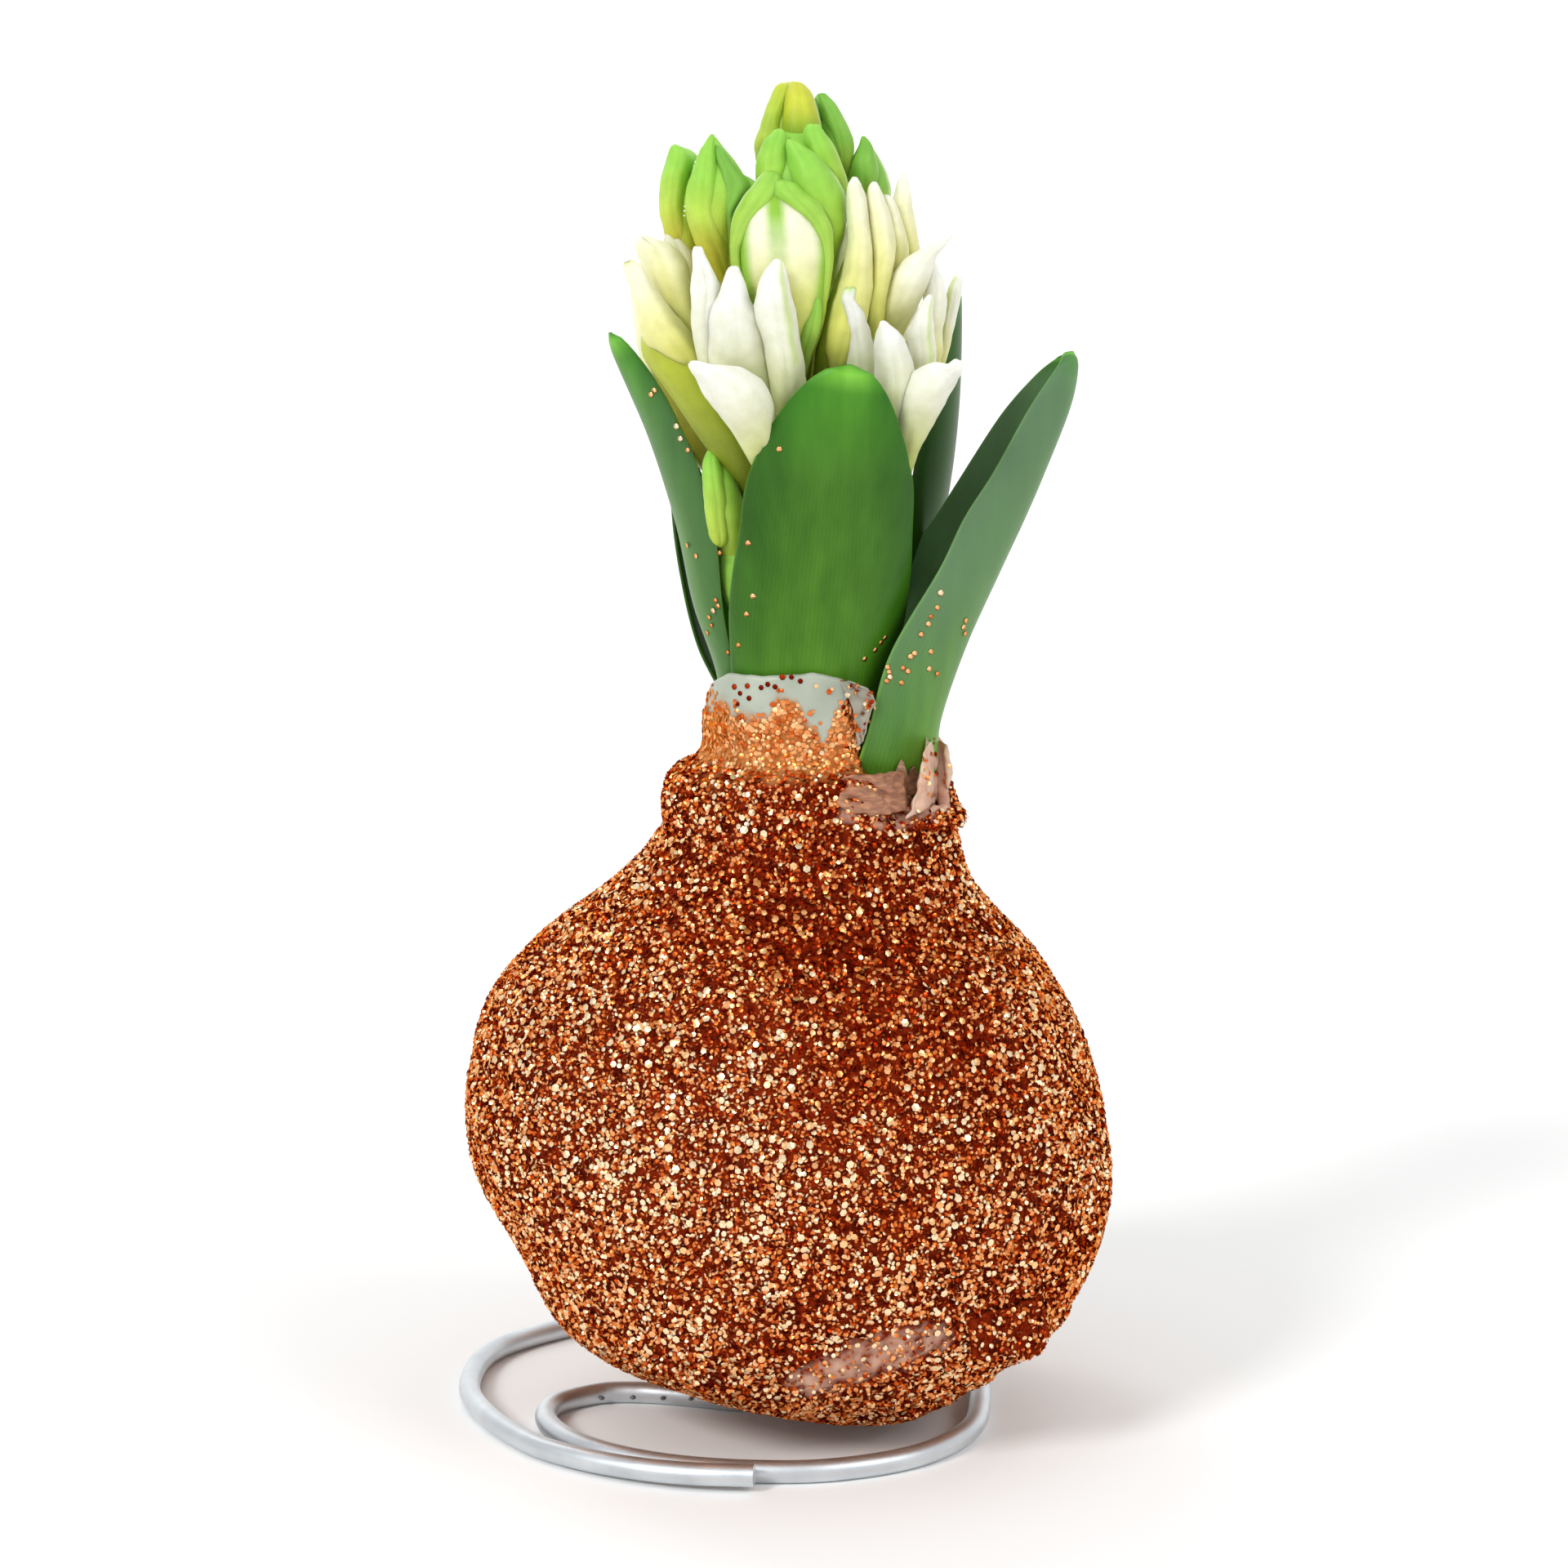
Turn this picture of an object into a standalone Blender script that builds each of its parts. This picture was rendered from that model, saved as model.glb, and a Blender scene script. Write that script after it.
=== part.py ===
"""A hyacinth in flower whose bulb is dipped in wax and copper glitter and stands on a bent wire.

Named values are in millimetres and degrees; meshes are in metres. +Z is up, the front is -Y
and +X is to the right. Azimuths are counted from +X towards the back, seen from above.
"""

import math

import bmesh
import bpy
import numpy as np
from mathutils import Vector

MM = 0.001
TINY = 1e-6
SHARP_ANGLE = 45.0             # edges sharper than this are shaded as edges
GAP = 0.3                      # clearance between pieces that touch
PLANT_OFFSET = (0.62, -0.33)   # the plant's own axis from the middle of the object's plan

# Wire stand: one length of aluminium wire, coiled once round and turned up into the bulb.
WIRE_ACROSS_FLATS = 2.5
WIRE_SIDES = 8
WIRE_TWIST = 1.0               # turns the wire's lower flats level behind its lifted end
WIRE_STEP = 5.5
SMOOTHING = 8                  # points read between two points of the route
COIL_CENTRE = (-5.2, 5.6)
COIL_LOW = WIRE_ACROSS_FLATS / 2
COIL_ROUTE = [                 # azimuth, distance from the coil's centre, height of the wire's axis
    (-87, 35.5, 1.9), (-99, 34.9, 1.8), (-111, 34.1, 1.6), (-124, 33.4, 1.4), (-138, 32.8, COIL_LOW),
    (-158, 32.3, COIL_LOW), (-178, 32.9, COIL_LOW), (-201, 33.7, COIL_LOW), (-222, 32.4, COIL_LOW),
    (-245, 31.6, COIL_LOW), (-270, 31.3, COIL_LOW), (-295, 31.0, COIL_LOW), (-320, 30.4, COIL_LOW),
    (-345, 29.6, COIL_LOW), (-376, 29.7, COIL_LOW), (-395, 32.3, COIL_LOW), (-413, 33.7, COIL_LOW),
    (-431, 33.4, COIL_LOW), (-447, 32.2, COIL_LOW), (-464, 31.1, COIL_LOW), (-480, 30.0, COIL_LOW),
    (-495, 28.6, COIL_LOW), (-509, 26.6, COIL_LOW), (-520, 23.4, COIL_LOW),
]
INNER_RUN = [(-22.6, 1.6), (-18.0, 2.2), (-13.4, 1.4), (-9.0, 0.0)]
PIN = (-3.3, -1.2)             # the upright pin at the end of the wire
PIN_BEND = [(-2.3, 0.1, 0.0), (-0.6, 0.0, 0.5), (0.0, 0.0, 2.0)]    # bend up, from the pin's foot
PIN_TOP = 30.0
PIN_HOLE_RADIUS = 1.75

# Waxed bulb: rings as centre x, centre y, radius, height, from the underside to the neck.
BODY_RINGS = [
    (8.6, -5.0, 4.5, 3.0), (7.8, -4.2, 9.8, 3.1), (5.6, -2.4, 16.2, 4.9), (4.0, -0.8, 22.7, 7.7),
    (3.1, 0.0, 27.3, 10.6), (2.8, 0.0, 31.0, 14.8), (2.7, 0.0, 33.8, 20.6), (2.1, 0.0, 36.0, 26.4),
    (0.9, 0.0, 37.2, 32.6), (-0.2, 0.0, 37.3, 38.6), (-0.5, 0.0, 36.0, 44.6), (-0.7, 0.0, 33.7, 50.4),
    (-0.5, 0.0, 30.3, 55.4), (0.0, 0.0, 25.8, 59.8), (0.8, 0.0, 21.4, 63.8), (1.7, 0.0, 18.2, 67.6),
    (2.4, 0.0, 16.3, 71.6),
]
BODY_COLUMNS = 40
BODY_LEVELS = 22
WAX_LUMPS = [                  # x, y, z, reach, height above the plain form
    (12.0, -11.0, 2.5, 9.0, 1.5), (26.0, -4.0, 7.0, 6.0, 1.6), (-13.0, -5.0, 74.0, 5.0, 0.9),
    (20.0, -3.0, 70.0, 5.5, 1.2), (-34.0, 0.0, 29.5, 8.0, 1.3), (30.0, 12.0, 16.0, 10.0, 1.0),
    (6.0, 35.0, 26.0, 12.0, -1.2), (-18.0, 24.0, 12.0, 9.0, 1.3), (33.0, -8.0, 27.0, 9.0, 0.8),
    (-6.0, -26.0, 8.0, 8.0, 0.8), (-1.0, -16.0, 77.0, 9.0, -1.7), (4.0, 17.0, 75.0, 8.0, -1.2),
    (-6.5, -1.2, 3.0, 5.0, -1.4),
]
WAX_RIPPLE = 0.28
RIPPLE_WAVES = (0.31, 0.17, 0.27, -0.21, 1.3)    # x and z, y and z in radians per mm, phase
LUMP_FALL = 2.0
UNDER_BULGE = 0.1
WAX_THICKNESS = 2.4

# Neck: a bare wax collar stands up on the left and front, a crater lies low on the right.
NECK_AXIS = (1.6, 0.0)
COLLAR_BORE = 9.6
CRATER_BORE = 15.0
LIP_WALL = 1.1
RIM_OVERHANG = 1.0             # how far the flat rim reaches over the opening before it is cut
OPENING = [                    # azimuth, distance from the neck's axis to the opening's wall
    (-180, 9.7), (-56, 9.7), (-45, 11.7), (-34, 15.9), (-23, 17.2), (-11, 16.6), (0, 15.7),
    (11, 15.0), (23, 12.8), (34, 10.4), (45, 9.7), (180, 9.7),
]
LIP = [                        # azimuth, height of the wax lip
    (-180, 84.6), (-158, 87.4), (-140, 88.4), (-80, 88.7), (-58, 87.8), (-50, 85.6), (-41, 78.0),
    (-30, 73.6), (-16, 73.4), (-8, 76.0), (0, 81.0), (10, 81.2), (20, 79.0), (38, 78.0), (60, 80.0),
    (90, 82.0), (140, 82.6), (180, 84.6),
]
CRATER_TAPER = 1.5             # how much thicker the crater's wall is at its foot
NECK_LEVELS = [                # share of the way up to the lip, collar radius, collar height
    (0.20, 15.6, 75.0), (0.40, 14.9, 77.4), (0.58, 12.2, 78.8), (0.72, 11.1, 80.8), (0.86, 11.1, 84.0),
    (1.00, 10.9, None),
]

# The bulb itself, inside the wax.
BULB_TOP = 71.5
BULB_SHOULDER = 69.0           # from here up the bulb fills the neck's opening
BULB_FOOT = 12.0               # below this height the bulb draws in from the wax's underside
BULB_FOOT_RISE = 2.6
ROOM_RISE = 24.0               # how far the cut for the opening runs above the bulb
BULB_COLUMNS = 32
BULB_LEVELS = 9
LEAF_BASE = BULB_TOP + GAP

TUNIC_COLUMNS = (28, 30)       # first and last of the opening's corners that the tunic lines
TUNIC_INSET = 0.5              # from the bulb's top edge to the middle of the tunic
TUNIC_THICKNESS = 0.6
TUNIC_TOPS = (79.4, 77.2, 80.2, 77.8, 79.0, 76.6, 77.4)

# Leaves: midrib points, half widths, half angle that the blade is rolled through, facing azimuth.
LEAF_THICKNESS = 1.0
LEAF_ROWS = 12
LEAF_COLUMNS = 6
LEAVES = {
    "leaf_front": dict(
        midrib=[(2.8, -8.4, LEAF_BASE), (2.9, -8.4, 80), (3.1, -8.8, 88), (3.9, -10.8, 95.5),
                (4.7, -13.9, 104), (5.6, -17.3, 113.5), (7.3, -19.6, 124)],
        half_width=[9.4, 9.5, 9.7, 10.3, 10.2, 7.8, 1.2], roll=[60, 60, 56, 42, 32, 26, 20],
        facing=(-82, -82)),
    "leaf_left": dict(
        midrib=[(-7.0, -0.9, LEAF_BASE), (-7.0, -0.9, 80), (-7.1, -1.2, 88), (-9.8, -3.2, 97),
                (-11.7, -5.0, 107), (-14.9, -5.8, 117.5), (-19.7, -6.2, 128.3)],
        half_width=[3.1, 3.3, 3.8, 5.2, 5.8, 4.4, 0.8], roll=[28, 30, 32, 38, 42, 42, 36],
        facing=(184, 208)),
    "leaf_right": dict(
        midrib=[(16.3, -2.4, LEAF_BASE), (16.6, -2.4, 80), (18.4, -2.4, 88), (21.5, -2.1, 95.5),
                (25.2, -1.4, 104), (29.6, -0.6, 114), (32.9, 0.2, 126)],
        half_width=[8.3, 8.5, 9.3, 9.6, 9.2, 7.4, 1.0], roll=[100, 98, 91, 82, 76, 70, 50],
        facing=(-10, 12)),
    "leaf_right_back": dict(
        midrib=[(7.6, 2.4, LEAF_BASE), (8.0, 2.8, 80), (10.4, 4.8, 88), (14.4, 8.7, 95.5),
                (18.0, 11.2, 104), (19.9, 11.9, 117), (20.3, 11.6, 133.4)],
        half_width=[4.4, 4.5, 4.9, 6.2, 6.8, 5.6, 0.8], roll=[40, 40, 38, 41, 44, 42, 34],
        facing=(22, 4)),
    "leaf_back": dict(
        midrib=[(2.4, 8.5, LEAF_BASE), (2.4, 8.5, 78), (2.4, 8.8, 84), (2.6, 12.2, 93),
                (2.9, 16.8, 103), (3.0, 20.8, 112), (3.2, 23.8, 121)],
        half_width=[3.4, 3.4, 3.7, 6.0, 7.6, 6.2, 0.9], roll=[24, 24, 26, 32, 32, 30, 26],
        facing=(86, 86)),
    "leaf_left_back": dict(
        midrib=[(-4.6, 5.9, LEAF_BASE), (-4.6, 5.9, 79), (-5.3, 6.5, 84.5), (-8.2, 8.8, 91),
                (-10.2, 9.8, 99), (-11.6, 10.5, 107), (-12.7, 11.0, 115.5)],
        half_width=[2.6, 2.8, 3.2, 4.2, 4.6, 4.0, 0.8], roll=[18, 20, 24, 30, 32, 32, 28],
        facing=(136, 145)),
}

# Flower stem: axis x, y, height, radius.
STEM = [(1.6, 0.0, LEAF_BASE, 4.6), (1.6, 0.0, 96, 4.4), (1.4, 0.0, 112, 3.9), (1.2, 0.0, 124, 3.2),
        (1.0, 0.2, 134, 2.3), (0.8, 0.8, 142, 1.6)]

# Florets: kind, tier, azimuth and height of the foot on the stem, tip (x, y, z), half width, half
# depth and, on an open floret, the azimuth from its outward side of the lobe that bends back.
FLORETS = {
    "floret_white_front_left": ("open", "low", 248, 109, (-5.0, -15.4, 135.0), 6.6, 4.8, -50),
    "floret_white_front_right": ("open", "low", -46, 107, (12.6, -11.6, 131.0), 6.3, 5.0, 24),
    "floret_white_back_right": ("open", "low", 58, 108, (10.2, 14.8, 133.6), 5.8, 4.6, 10),
    "floret_white_back_left": ("open", "low", 110, 107, (-4.4, 16.2, 133.0), 5.8, 4.6, -14),
    "floret_cream_left": ("half", "low", 180, 110, (-14.3, 2.4, 139.6), 4.3, 4.2),
    "floret_cream_right": ("half", "low", 8, 113, (16.4, 1.2, 138.0), 4.8, 4.6),
    "floret_cream_front_right": ("half", "middle", -56, 118, (10.4, -6.6, 146.0), 5.4, 4.2),
    "floret_cream_back_right": ("half", "middle", 84, 119, (2.6, 11.8, 144.6), 5.0, 4.2),
    "floret_cream_back_left": ("half", "middle", 142, 118, (-8.2, 8.8, 143.4), 4.7, 4.2),
    "bud_striped_front": ("bud", "middle", -102, 121, (-0.7, -9.8, 145.6), 6.0, 4.2),
    "bud_green_front": ("bud", "top", -62, 134, (2.4, -5.6, 151.6), 5.4, 4.0),
    "bud_green_left_front": ("bud", "top", 220, 129, (-8.2, -6.2, 150.4), 4.2, 3.9),
    "bud_green_left": ("bud", "top", 178, 131, (-12.4, 0.6, 149.4), 3.9, 3.7),
    "bud_green_right_back": ("bud", "top", 30, 131, (9.8, 6.2, 149.8), 3.9, 3.7),
    "bud_green_back": ("bud", "top", 92, 135, (1.6, 8.6, 150.6), 4.2, 3.6),
    "bud_green_back_left": ("bud", "top", 134, 134, (-6.0, 7.4, 149.2), 4.0, 3.6),
    "bud_apex": ("bud", "top", -90, 142.6, (0.4, 0.8, 156.4), 4.2, 3.8),
    "bud_apex_right": ("bud", "top", 20, 138, (5.9, 3.8, 154.6), 3.1, 3.0),
    "bud_small_left": ("small", "low", 202, 104.5, (-8.8, -5.4, 115.0), 2.9, 2.6),
    "bud_small_left_low": ("small", "low", 230, 94, (-5.8, -6.2, 106.6), 2.0, 1.8),
    "bud_small_front": ("small", "low", -112, 98, (-2.9, -8.4, 109.0), 1.6, 1.5),
    "bud_small_right": ("small", "low", 14, 99, (9.4, 2.2, 112.0), 2.4, 2.2),
    "bud_small_back": ("small", "low", 82, 94, (2.8, 8.8, 106.4), 2.2, 2.0),
}
TIERS = {"low": (0.95, 0.22), "middle": (0.70, 0.36), "top": (0.74, 0.30)}   # the axis's bend,
FOOT_RUN = 2.6                 # as shares of reach and rise, after a level run from the stem
FOOT_CLEARANCE = 0.7           # from the stem to a floret's foot
SPINE_STEPS = 41
PRESS_CLEARANCE = 0.28         # from a pressed surface to the border with its neighbour
PRESS_KNEE = 0.78              # share of the room that a floret fills before it is pressed
PRESS_ABOVE = 1.5              # how far over a neighbour's tip a floret still keeps clear of it
LEAST_REACH = 0.5
LEAST_GIRTH = 0.05
BESIDE = 0.02                  # least cosine at which a border counts as lying ahead
FREE_REACH = 1000.0
PETAL_THICKNESS = 0.7
LOBES = 6
TUBE = {                       # share of the length: share of the half width
    "open": [(0.06, 0.21), (0.18, 0.50), (0.30, 0.74), (0.42, 0.88)],
    "half": [(0.06, 0.25), (0.20, 0.62), (0.36, 0.82), (0.52, 0.92)],
}
# Share of a lobe's length, half angle of an outer and of an inner lobe, share of the flare.
LOBE = [(0.30, 28.0, 26.2, 0.03), (0.60, 33.0, 23.0, 0.22), (0.87, 26.0, 17.0, 0.64), (1.0, 0.0, 0.0, 1.0)]
LAYERS = (1.06, 0.93)          # size of the outer and the inner ring of lobes
FLARE = {"open": 0.22, "half": -0.22}      # how far a lobe's tip leans out, as a share of the size
DROOP = 0.75                               # the same for the lobe that bends back
DROOP_LENGTH = 0.72
BUD = {
    "bud": [(0.03, 0.20), (0.15, 0.46), (0.32, 0.80), (0.53, 1.0), (0.74, 0.92), (0.91, 0.58)],
    "small": [(0.04, 0.30), (0.24, 0.74), (0.52, 1.0), (0.80, 0.72)],
}
BUD_GROOVE = 0.12

COLOURS = {                    # sRGB colour, roughness, metallic
    "aluminium": ("#A9AFB6", 0.35, 1.0), "wax": ("#B5602F", 0.40, 0.6), "bulb": ("#D8CDB0", 0.60, 0.0),
    "tunic": ("#A98463", 0.75, 0.0), "leaf": ("#3F7A34", 0.50, 0.0), "stem": ("#8DA63F", 0.50, 0.0),
    "open": ("#F3F1E2", 0.55, 0.0), "half": ("#E6E3A6", 0.55, 0.0), "bud": ("#8FBF3F", 0.50, 0.0),
    "small": ("#7DB238", 0.50, 0.0),
}


def linear(hex_colour):
    """Linear RGBA of an sRGB hex colour."""
    shares = [int(hex_colour[i:i + 2], 16) / 255 for i in (1, 3, 5)]
    return [s / 12.92 if s <= 0.04045 else ((s + 0.055) / 1.055) ** 2.4 for s in shares] + [1.0]


def material(name):
    """The named Principled material, made on first use."""
    found = bpy.data.materials.get(name)
    if found:
        return found
    colour, roughness, metallic = COLOURS[name]
    made = bpy.data.materials.new(name)
    made.use_nodes = True
    shader = made.node_tree.nodes["Principled BSDF"]
    shader.inputs["Base Color"].default_value = linear(colour)
    shader.inputs["Roughness"].default_value = roughness
    shader.inputs["Metallic"].default_value = metallic
    return made


def through(rows, count):
    """count rows read evenly along a Catmull-Rom curve through the given rows of numbers."""
    rows = np.array(rows, float)
    ends = np.vstack([2 * rows[0] - rows[1], rows, 2 * rows[-1] - rows[-2]])
    read = []
    for share in np.linspace(0, len(rows) - 1, count):
        i = min(int(share), len(rows) - 2)
        t = share - i
        a, b, c, d = ends[i:i + 4]
        point = 0.5 * (2 * b + (c - a) * t + (2 * a - 5 * b + 4 * c - d) * t ** 2
                       + (3 * b - a - 3 * c + d) * t ** 3)
        read.append(point.tolist())
    return read


def around(table, azimuth):
    """Value of an (azimuth, value) table at an azimuth, read round the circle."""
    azimuths, values = zip(*table)
    return float(np.interp((azimuth + 180) % 360 - 180, azimuths, values))


def heading(azimuth):
    """Unit vector on the ground plane."""
    return Vector((math.cos(math.radians(azimuth)), math.sin(math.radians(azimuth)), 0.0))


def add_object(name, mesh, material_name, collection):
    mesh.materials.append(material(material_name))
    made = bpy.data.objects.new(name, mesh)
    collection.objects.link(made)
    return made


def build_mesh(name, points, faces, triangulate=False):
    """A welded mesh from points in millimetres, with its faces turned outwards."""
    sheet = bmesh.new()
    verts = [sheet.verts.new(Vector(p) * MM) for p in points]
    for face in faces:
        sheet.faces.new([verts[i] for i in face])
    bmesh.ops.recalc_face_normals(sheet, faces=sheet.faces)
    if triangulate:
        bmesh.ops.triangulate(sheet, faces=sheet.faces)
    mesh = bpy.data.meshes.new(name)
    sheet.to_mesh(mesh)
    sheet.free()
    mesh.shade_smooth()
    mesh.set_sharp_from_angle(angle=math.radians(SHARP_ANGLE))
    return mesh


def loft(name, rings, bottom, top):
    """A closed mesh through rings of equal length, with a pole at each end."""
    columns = len(rings[0])
    points = [p for ring in rings for p in ring] + [bottom, top]
    faces = []
    for i in range(columns):
        j = (i + 1) % columns
        for low in range(0, len(rings) * columns - columns, columns):
            high = low + columns
            faces += [(low + i, low + j, high + j), (low + i, high + j, high + i)]
        last = len(rings) * columns - columns
        faces.append((i, len(points) - 2, j))
        faces.append((last + i, last + j, len(points) - 1))
    return build_mesh(name, points, faces)


def solidify(obj, thickness):
    """Gives an open sheet its thickness, half to each side."""
    shell = obj.modifiers.new("Thickness", "SOLIDIFY")
    shell.thickness = thickness * MM
    shell.offset = 0.0


def cut(obj, cutter):
    bite = obj.modifiers.new(f"Cut by {cutter.name}", "BOOLEAN")
    bite.operation = "DIFFERENCE"
    bite.object = cutter
    cutter.hide_render = True
    cutter.display_type = "WIRE"


def tube(name, points, radii, sides, material_name, collection, twist=0.0):
    """A filled curve of straight runs through points in millimetres."""
    curve = bpy.data.curves.new(name, "CURVE")
    curve.dimensions = "3D"
    curve.bevel_depth = MM
    curve.bevel_resolution = sides // 2 - 2
    curve.use_fill_caps = True
    curve.twist_mode = "MINIMUM"
    line = curve.splines.new("POLY")
    line.points.add(len(points) - 1)
    for point, place, radius in zip(line.points, points, radii):
        point.co = (*(Vector(place) * MM), 1.0)
        point.radius = radius
        point.tilt = math.pi / sides + math.radians(twist)
    curve.materials.append(material(material_name))
    made = bpy.data.objects.new(name, curve)
    collection.objects.link(made)
    return made


def wire_route():
    """Points of the wire's axis: the coil, the run in to the middle and the pin."""
    route = []
    for azimuth, distance, height in COIL_ROUTE:
        place = Vector((*COIL_CENTRE, height)) + distance * heading(azimuth)
        route.append(place)
    route += [Vector((x, y, COIL_LOW)) for x, y in INNER_RUN]
    bend = [Vector((*PIN, COIL_LOW)) + Vector(step) for step in PIN_BEND] + [Vector((*PIN, PIN_TOP))]
    smooth = np.array(through(route, SMOOTHING * len(route)))
    steps = np.linalg.norm(np.diff(smooth, axis=0), axis=1)
    along = np.concatenate([[0.0], np.cumsum(steps)])
    marks = np.linspace(0, along[-1], round(along[-1] / WIRE_STEP))
    even = [Vector([float(np.interp(m, along, smooth[:, k])) for k in range(3)]) for m in marks]
    for point in even:
        point.z = max(point.z, COIL_LOW)
    return even + bend


def make_wire(collection):
    corner = WIRE_ACROSS_FLATS / 2 / math.cos(math.pi / WIRE_SIDES)
    route = wire_route()
    return tube("wire_stand", route, [corner] * len(route), WIRE_SIDES, "aluminium", collection,
                WIRE_TWIST)


def lump(point):
    """How far the wax stands out at a point of its plain form."""
    x, y, z = point
    across, rise, deep, fall, phase = RIPPLE_WAVES
    raised = WAX_RIPPLE * math.sin(across * x + rise * z) * math.sin(deep * y + fall * z + phase)
    for lx, ly, lz, reach, height in WAX_LUMPS:
        distance = math.dist((x, y, z), (lx, ly, lz)) / reach
        raised += height * math.exp(-LUMP_FALL * distance ** 2)
    return raised


def body_ring(row, columns, inset=0.0):
    x, y, radius, height = row
    centre = Vector((x, y, height))
    return [centre + (radius - inset) * heading(360 * i / columns) for i in range(columns)]


def neck_point(azimuth, share, collar_radius, collar_height):
    """A point of the neck's outside: collar and crater wall, blended by how wide the opening is."""
    axis = Vector((*NECK_AXIS, 0))
    bore = around(OPENING, azimuth)
    lip = around(LIP, azimuth)
    root = BODY_RINGS[-1][3]
    crater = min(max((bore - COLLAR_BORE) / (CRATER_BORE - COLLAR_BORE), 0.0), 1.0)
    crater_radius = bore + LIP_WALL + (1 - share) * CRATER_TAPER
    crater_height = root + share * (lip - root)
    if collar_height is None:
        collar_height = lip
    radius = collar_radius + crater * (crater_radius - collar_radius)
    height = collar_height + crater * (crater_height - collar_height)
    return axis + radius * heading(azimuth) + Vector((0, 0, min(height, lip)))


def wax_outside():
    rings = [body_ring(row, BODY_COLUMNS) for row in through(BODY_RINGS, BODY_LEVELS)]
    for level in NECK_LEVELS:
        rings.append([neck_point(360 * i / BODY_COLUMNS, *level) for i in range(BODY_COLUMNS)])
    lumpy = []
    for ring in rings:
        centre = sum(ring, Vector()) / len(ring)
        lumpy.append([p + lump(p) * (p - centre + Vector((0, 0, centre.z - p.z))).normalized()
                      for p in ring])
    axis = Vector((*NECK_AXIS, 0))
    rim = []
    for i, p in enumerate(lumpy[-1]):
        azimuth = 360 * i / BODY_COLUMNS
        rim.append(axis + (around(OPENING, azimuth) - RIM_OVERHANG) * heading(azimuth) + Vector((0, 0, p.z)))
    lumpy.append(rim)
    x, y, _, height = BODY_RINGS[0]
    under = Vector((x, y, height - UNDER_BULGE))
    middle = sum(rim, Vector()) / BODY_COLUMNS
    return loft("wax_coat", lumpy, under, middle)


def bulb_rings(grown):
    """Rings of the natural bulb, grown by a clearance; its top fills the neck's opening."""
    axis = Vector((*NECK_AXIS, 0))
    rings = []
    for x, y, radius, height in through(BODY_RINGS[1:-1], BULB_LEVELS):
        raised = BULB_FOOT_RISE * (1 - min(height / BULB_FOOT, 1)) - grown * (height < BULB_FOOT)
        rings.append(body_ring((x, y, radius, height + raised), BULB_COLUMNS, WAX_THICKNESS - grown))
    for height in (BULB_SHOULDER, BULB_TOP + grown):
        rings.append([axis + Vector((0, 0, height))
                      + (around(OPENING, 360 * i / BULB_COLUMNS) - GAP + grown)
                      * heading(360 * i / BULB_COLUMNS) for i in range(BULB_COLUMNS)])
    return rings


def make_bulb(collection, pin_hole):
    rings = bulb_rings(0.0)
    mesh = loft("hyacinth_bulb", rings, sum(rings[0], Vector()) / BULB_COLUMNS,
                sum(rings[-1], Vector()) / BULB_COLUMNS)
    bulb = add_object("hyacinth_bulb", mesh, "bulb", collection)
    cut(bulb, pin_hole)
    return bulb


def make_wax(collection, cutters, pin_hole):
    rings = bulb_rings(GAP)
    top = [p + Vector((0, 0, ROOM_RISE)) for p in rings[-1]]
    room = loft("bulb_room", rings + [top], sum(rings[0], Vector()) / BULB_COLUMNS,
                sum(top, Vector()) / BULB_COLUMNS)
    cutter = add_object("bulb_room", room, "wax", cutters)
    wax = add_object("wax_coat", wax_outside(), "wax", collection)
    cut(wax, cutter)
    cut(wax, pin_hole)
    return wax


def make_pin_hole(cutters):
    sheet = bmesh.new()
    bmesh.ops.create_cone(sheet, cap_ends=True, segments=16, radius1=PIN_HOLE_RADIUS * MM,
                          radius2=PIN_HOLE_RADIUS * MM, depth=(PIN_TOP + GAP) * MM)
    mesh = bpy.data.meshes.new("pin_hole")
    sheet.to_mesh(mesh)
    sheet.free()
    hole = add_object("pin_hole", mesh, "wax", cutters)
    hole.location = Vector((*PIN, (PIN_TOP + GAP) / 2)) * MM
    return hole


def make_tunic(collection):
    """The papery scale that lines the crater in front of the right leaf."""
    first, last = TUNIC_COLUMNS
    corners = bulb_rings(-TUNIC_INSET)[-1][first:last + 1]
    columns = len(TUNIC_TOPS)
    points = []
    for row in range(4):
        for i, top in enumerate(TUNIC_TOPS):
            along = i / (columns - 1) * (len(corners) - 1)
            corner = min(int(along), len(corners) - 2)
            foot = corners[corner].lerp(corners[corner + 1], along - corner)
            points.append(Vector((foot.x, foot.y, LEAF_BASE + (top - LEAF_BASE) * row / 3)))
    faces = [(r * columns + i, r * columns + i + 1, (r + 1) * columns + i + 1, (r + 1) * columns + i)
             for r in range(3) for i in range(columns - 1)]
    tunic = add_object("bulb_tunic", build_mesh("bulb_tunic", points, faces, True), "tunic", collection)
    solidify(tunic, TUNIC_THICKNESS)
    return tunic


def leaf_points(midrib, half_width, roll, facing, rows, columns):
    """Grid of a channelled blade: each row is an arc round the inner side of the midrib."""
    centres = through(midrib, rows + 1)
    widths = [row[0] for row in through([[w] for w in half_width], rows + 1)]
    rolls = [row[0] for row in through([[r] for r in roll], rows + 1)]
    tangents = np.gradient(centres, axis=0)
    points = []
    for row, (centre, width, angle) in enumerate(zip(centres, widths, rolls)):
        along = Vector(tangents[row].tolist()).normalized()
        out = heading(facing[0] + (facing[1] - facing[0]) * row / rows)
        if row == 0:
            along = Vector((0, 0, 1))
        out = (out - out.dot(along) * along).normalized()
        side = along.cross(out)
        radius = width / math.radians(angle)
        for i in range(columns + 1):
            turn = math.radians(angle) * (2 * i / columns - 1)
            points.append(Vector(centre) + radius * math.sin(turn) * side
                          - radius * (1 - math.cos(turn)) * out)
    return points


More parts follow.
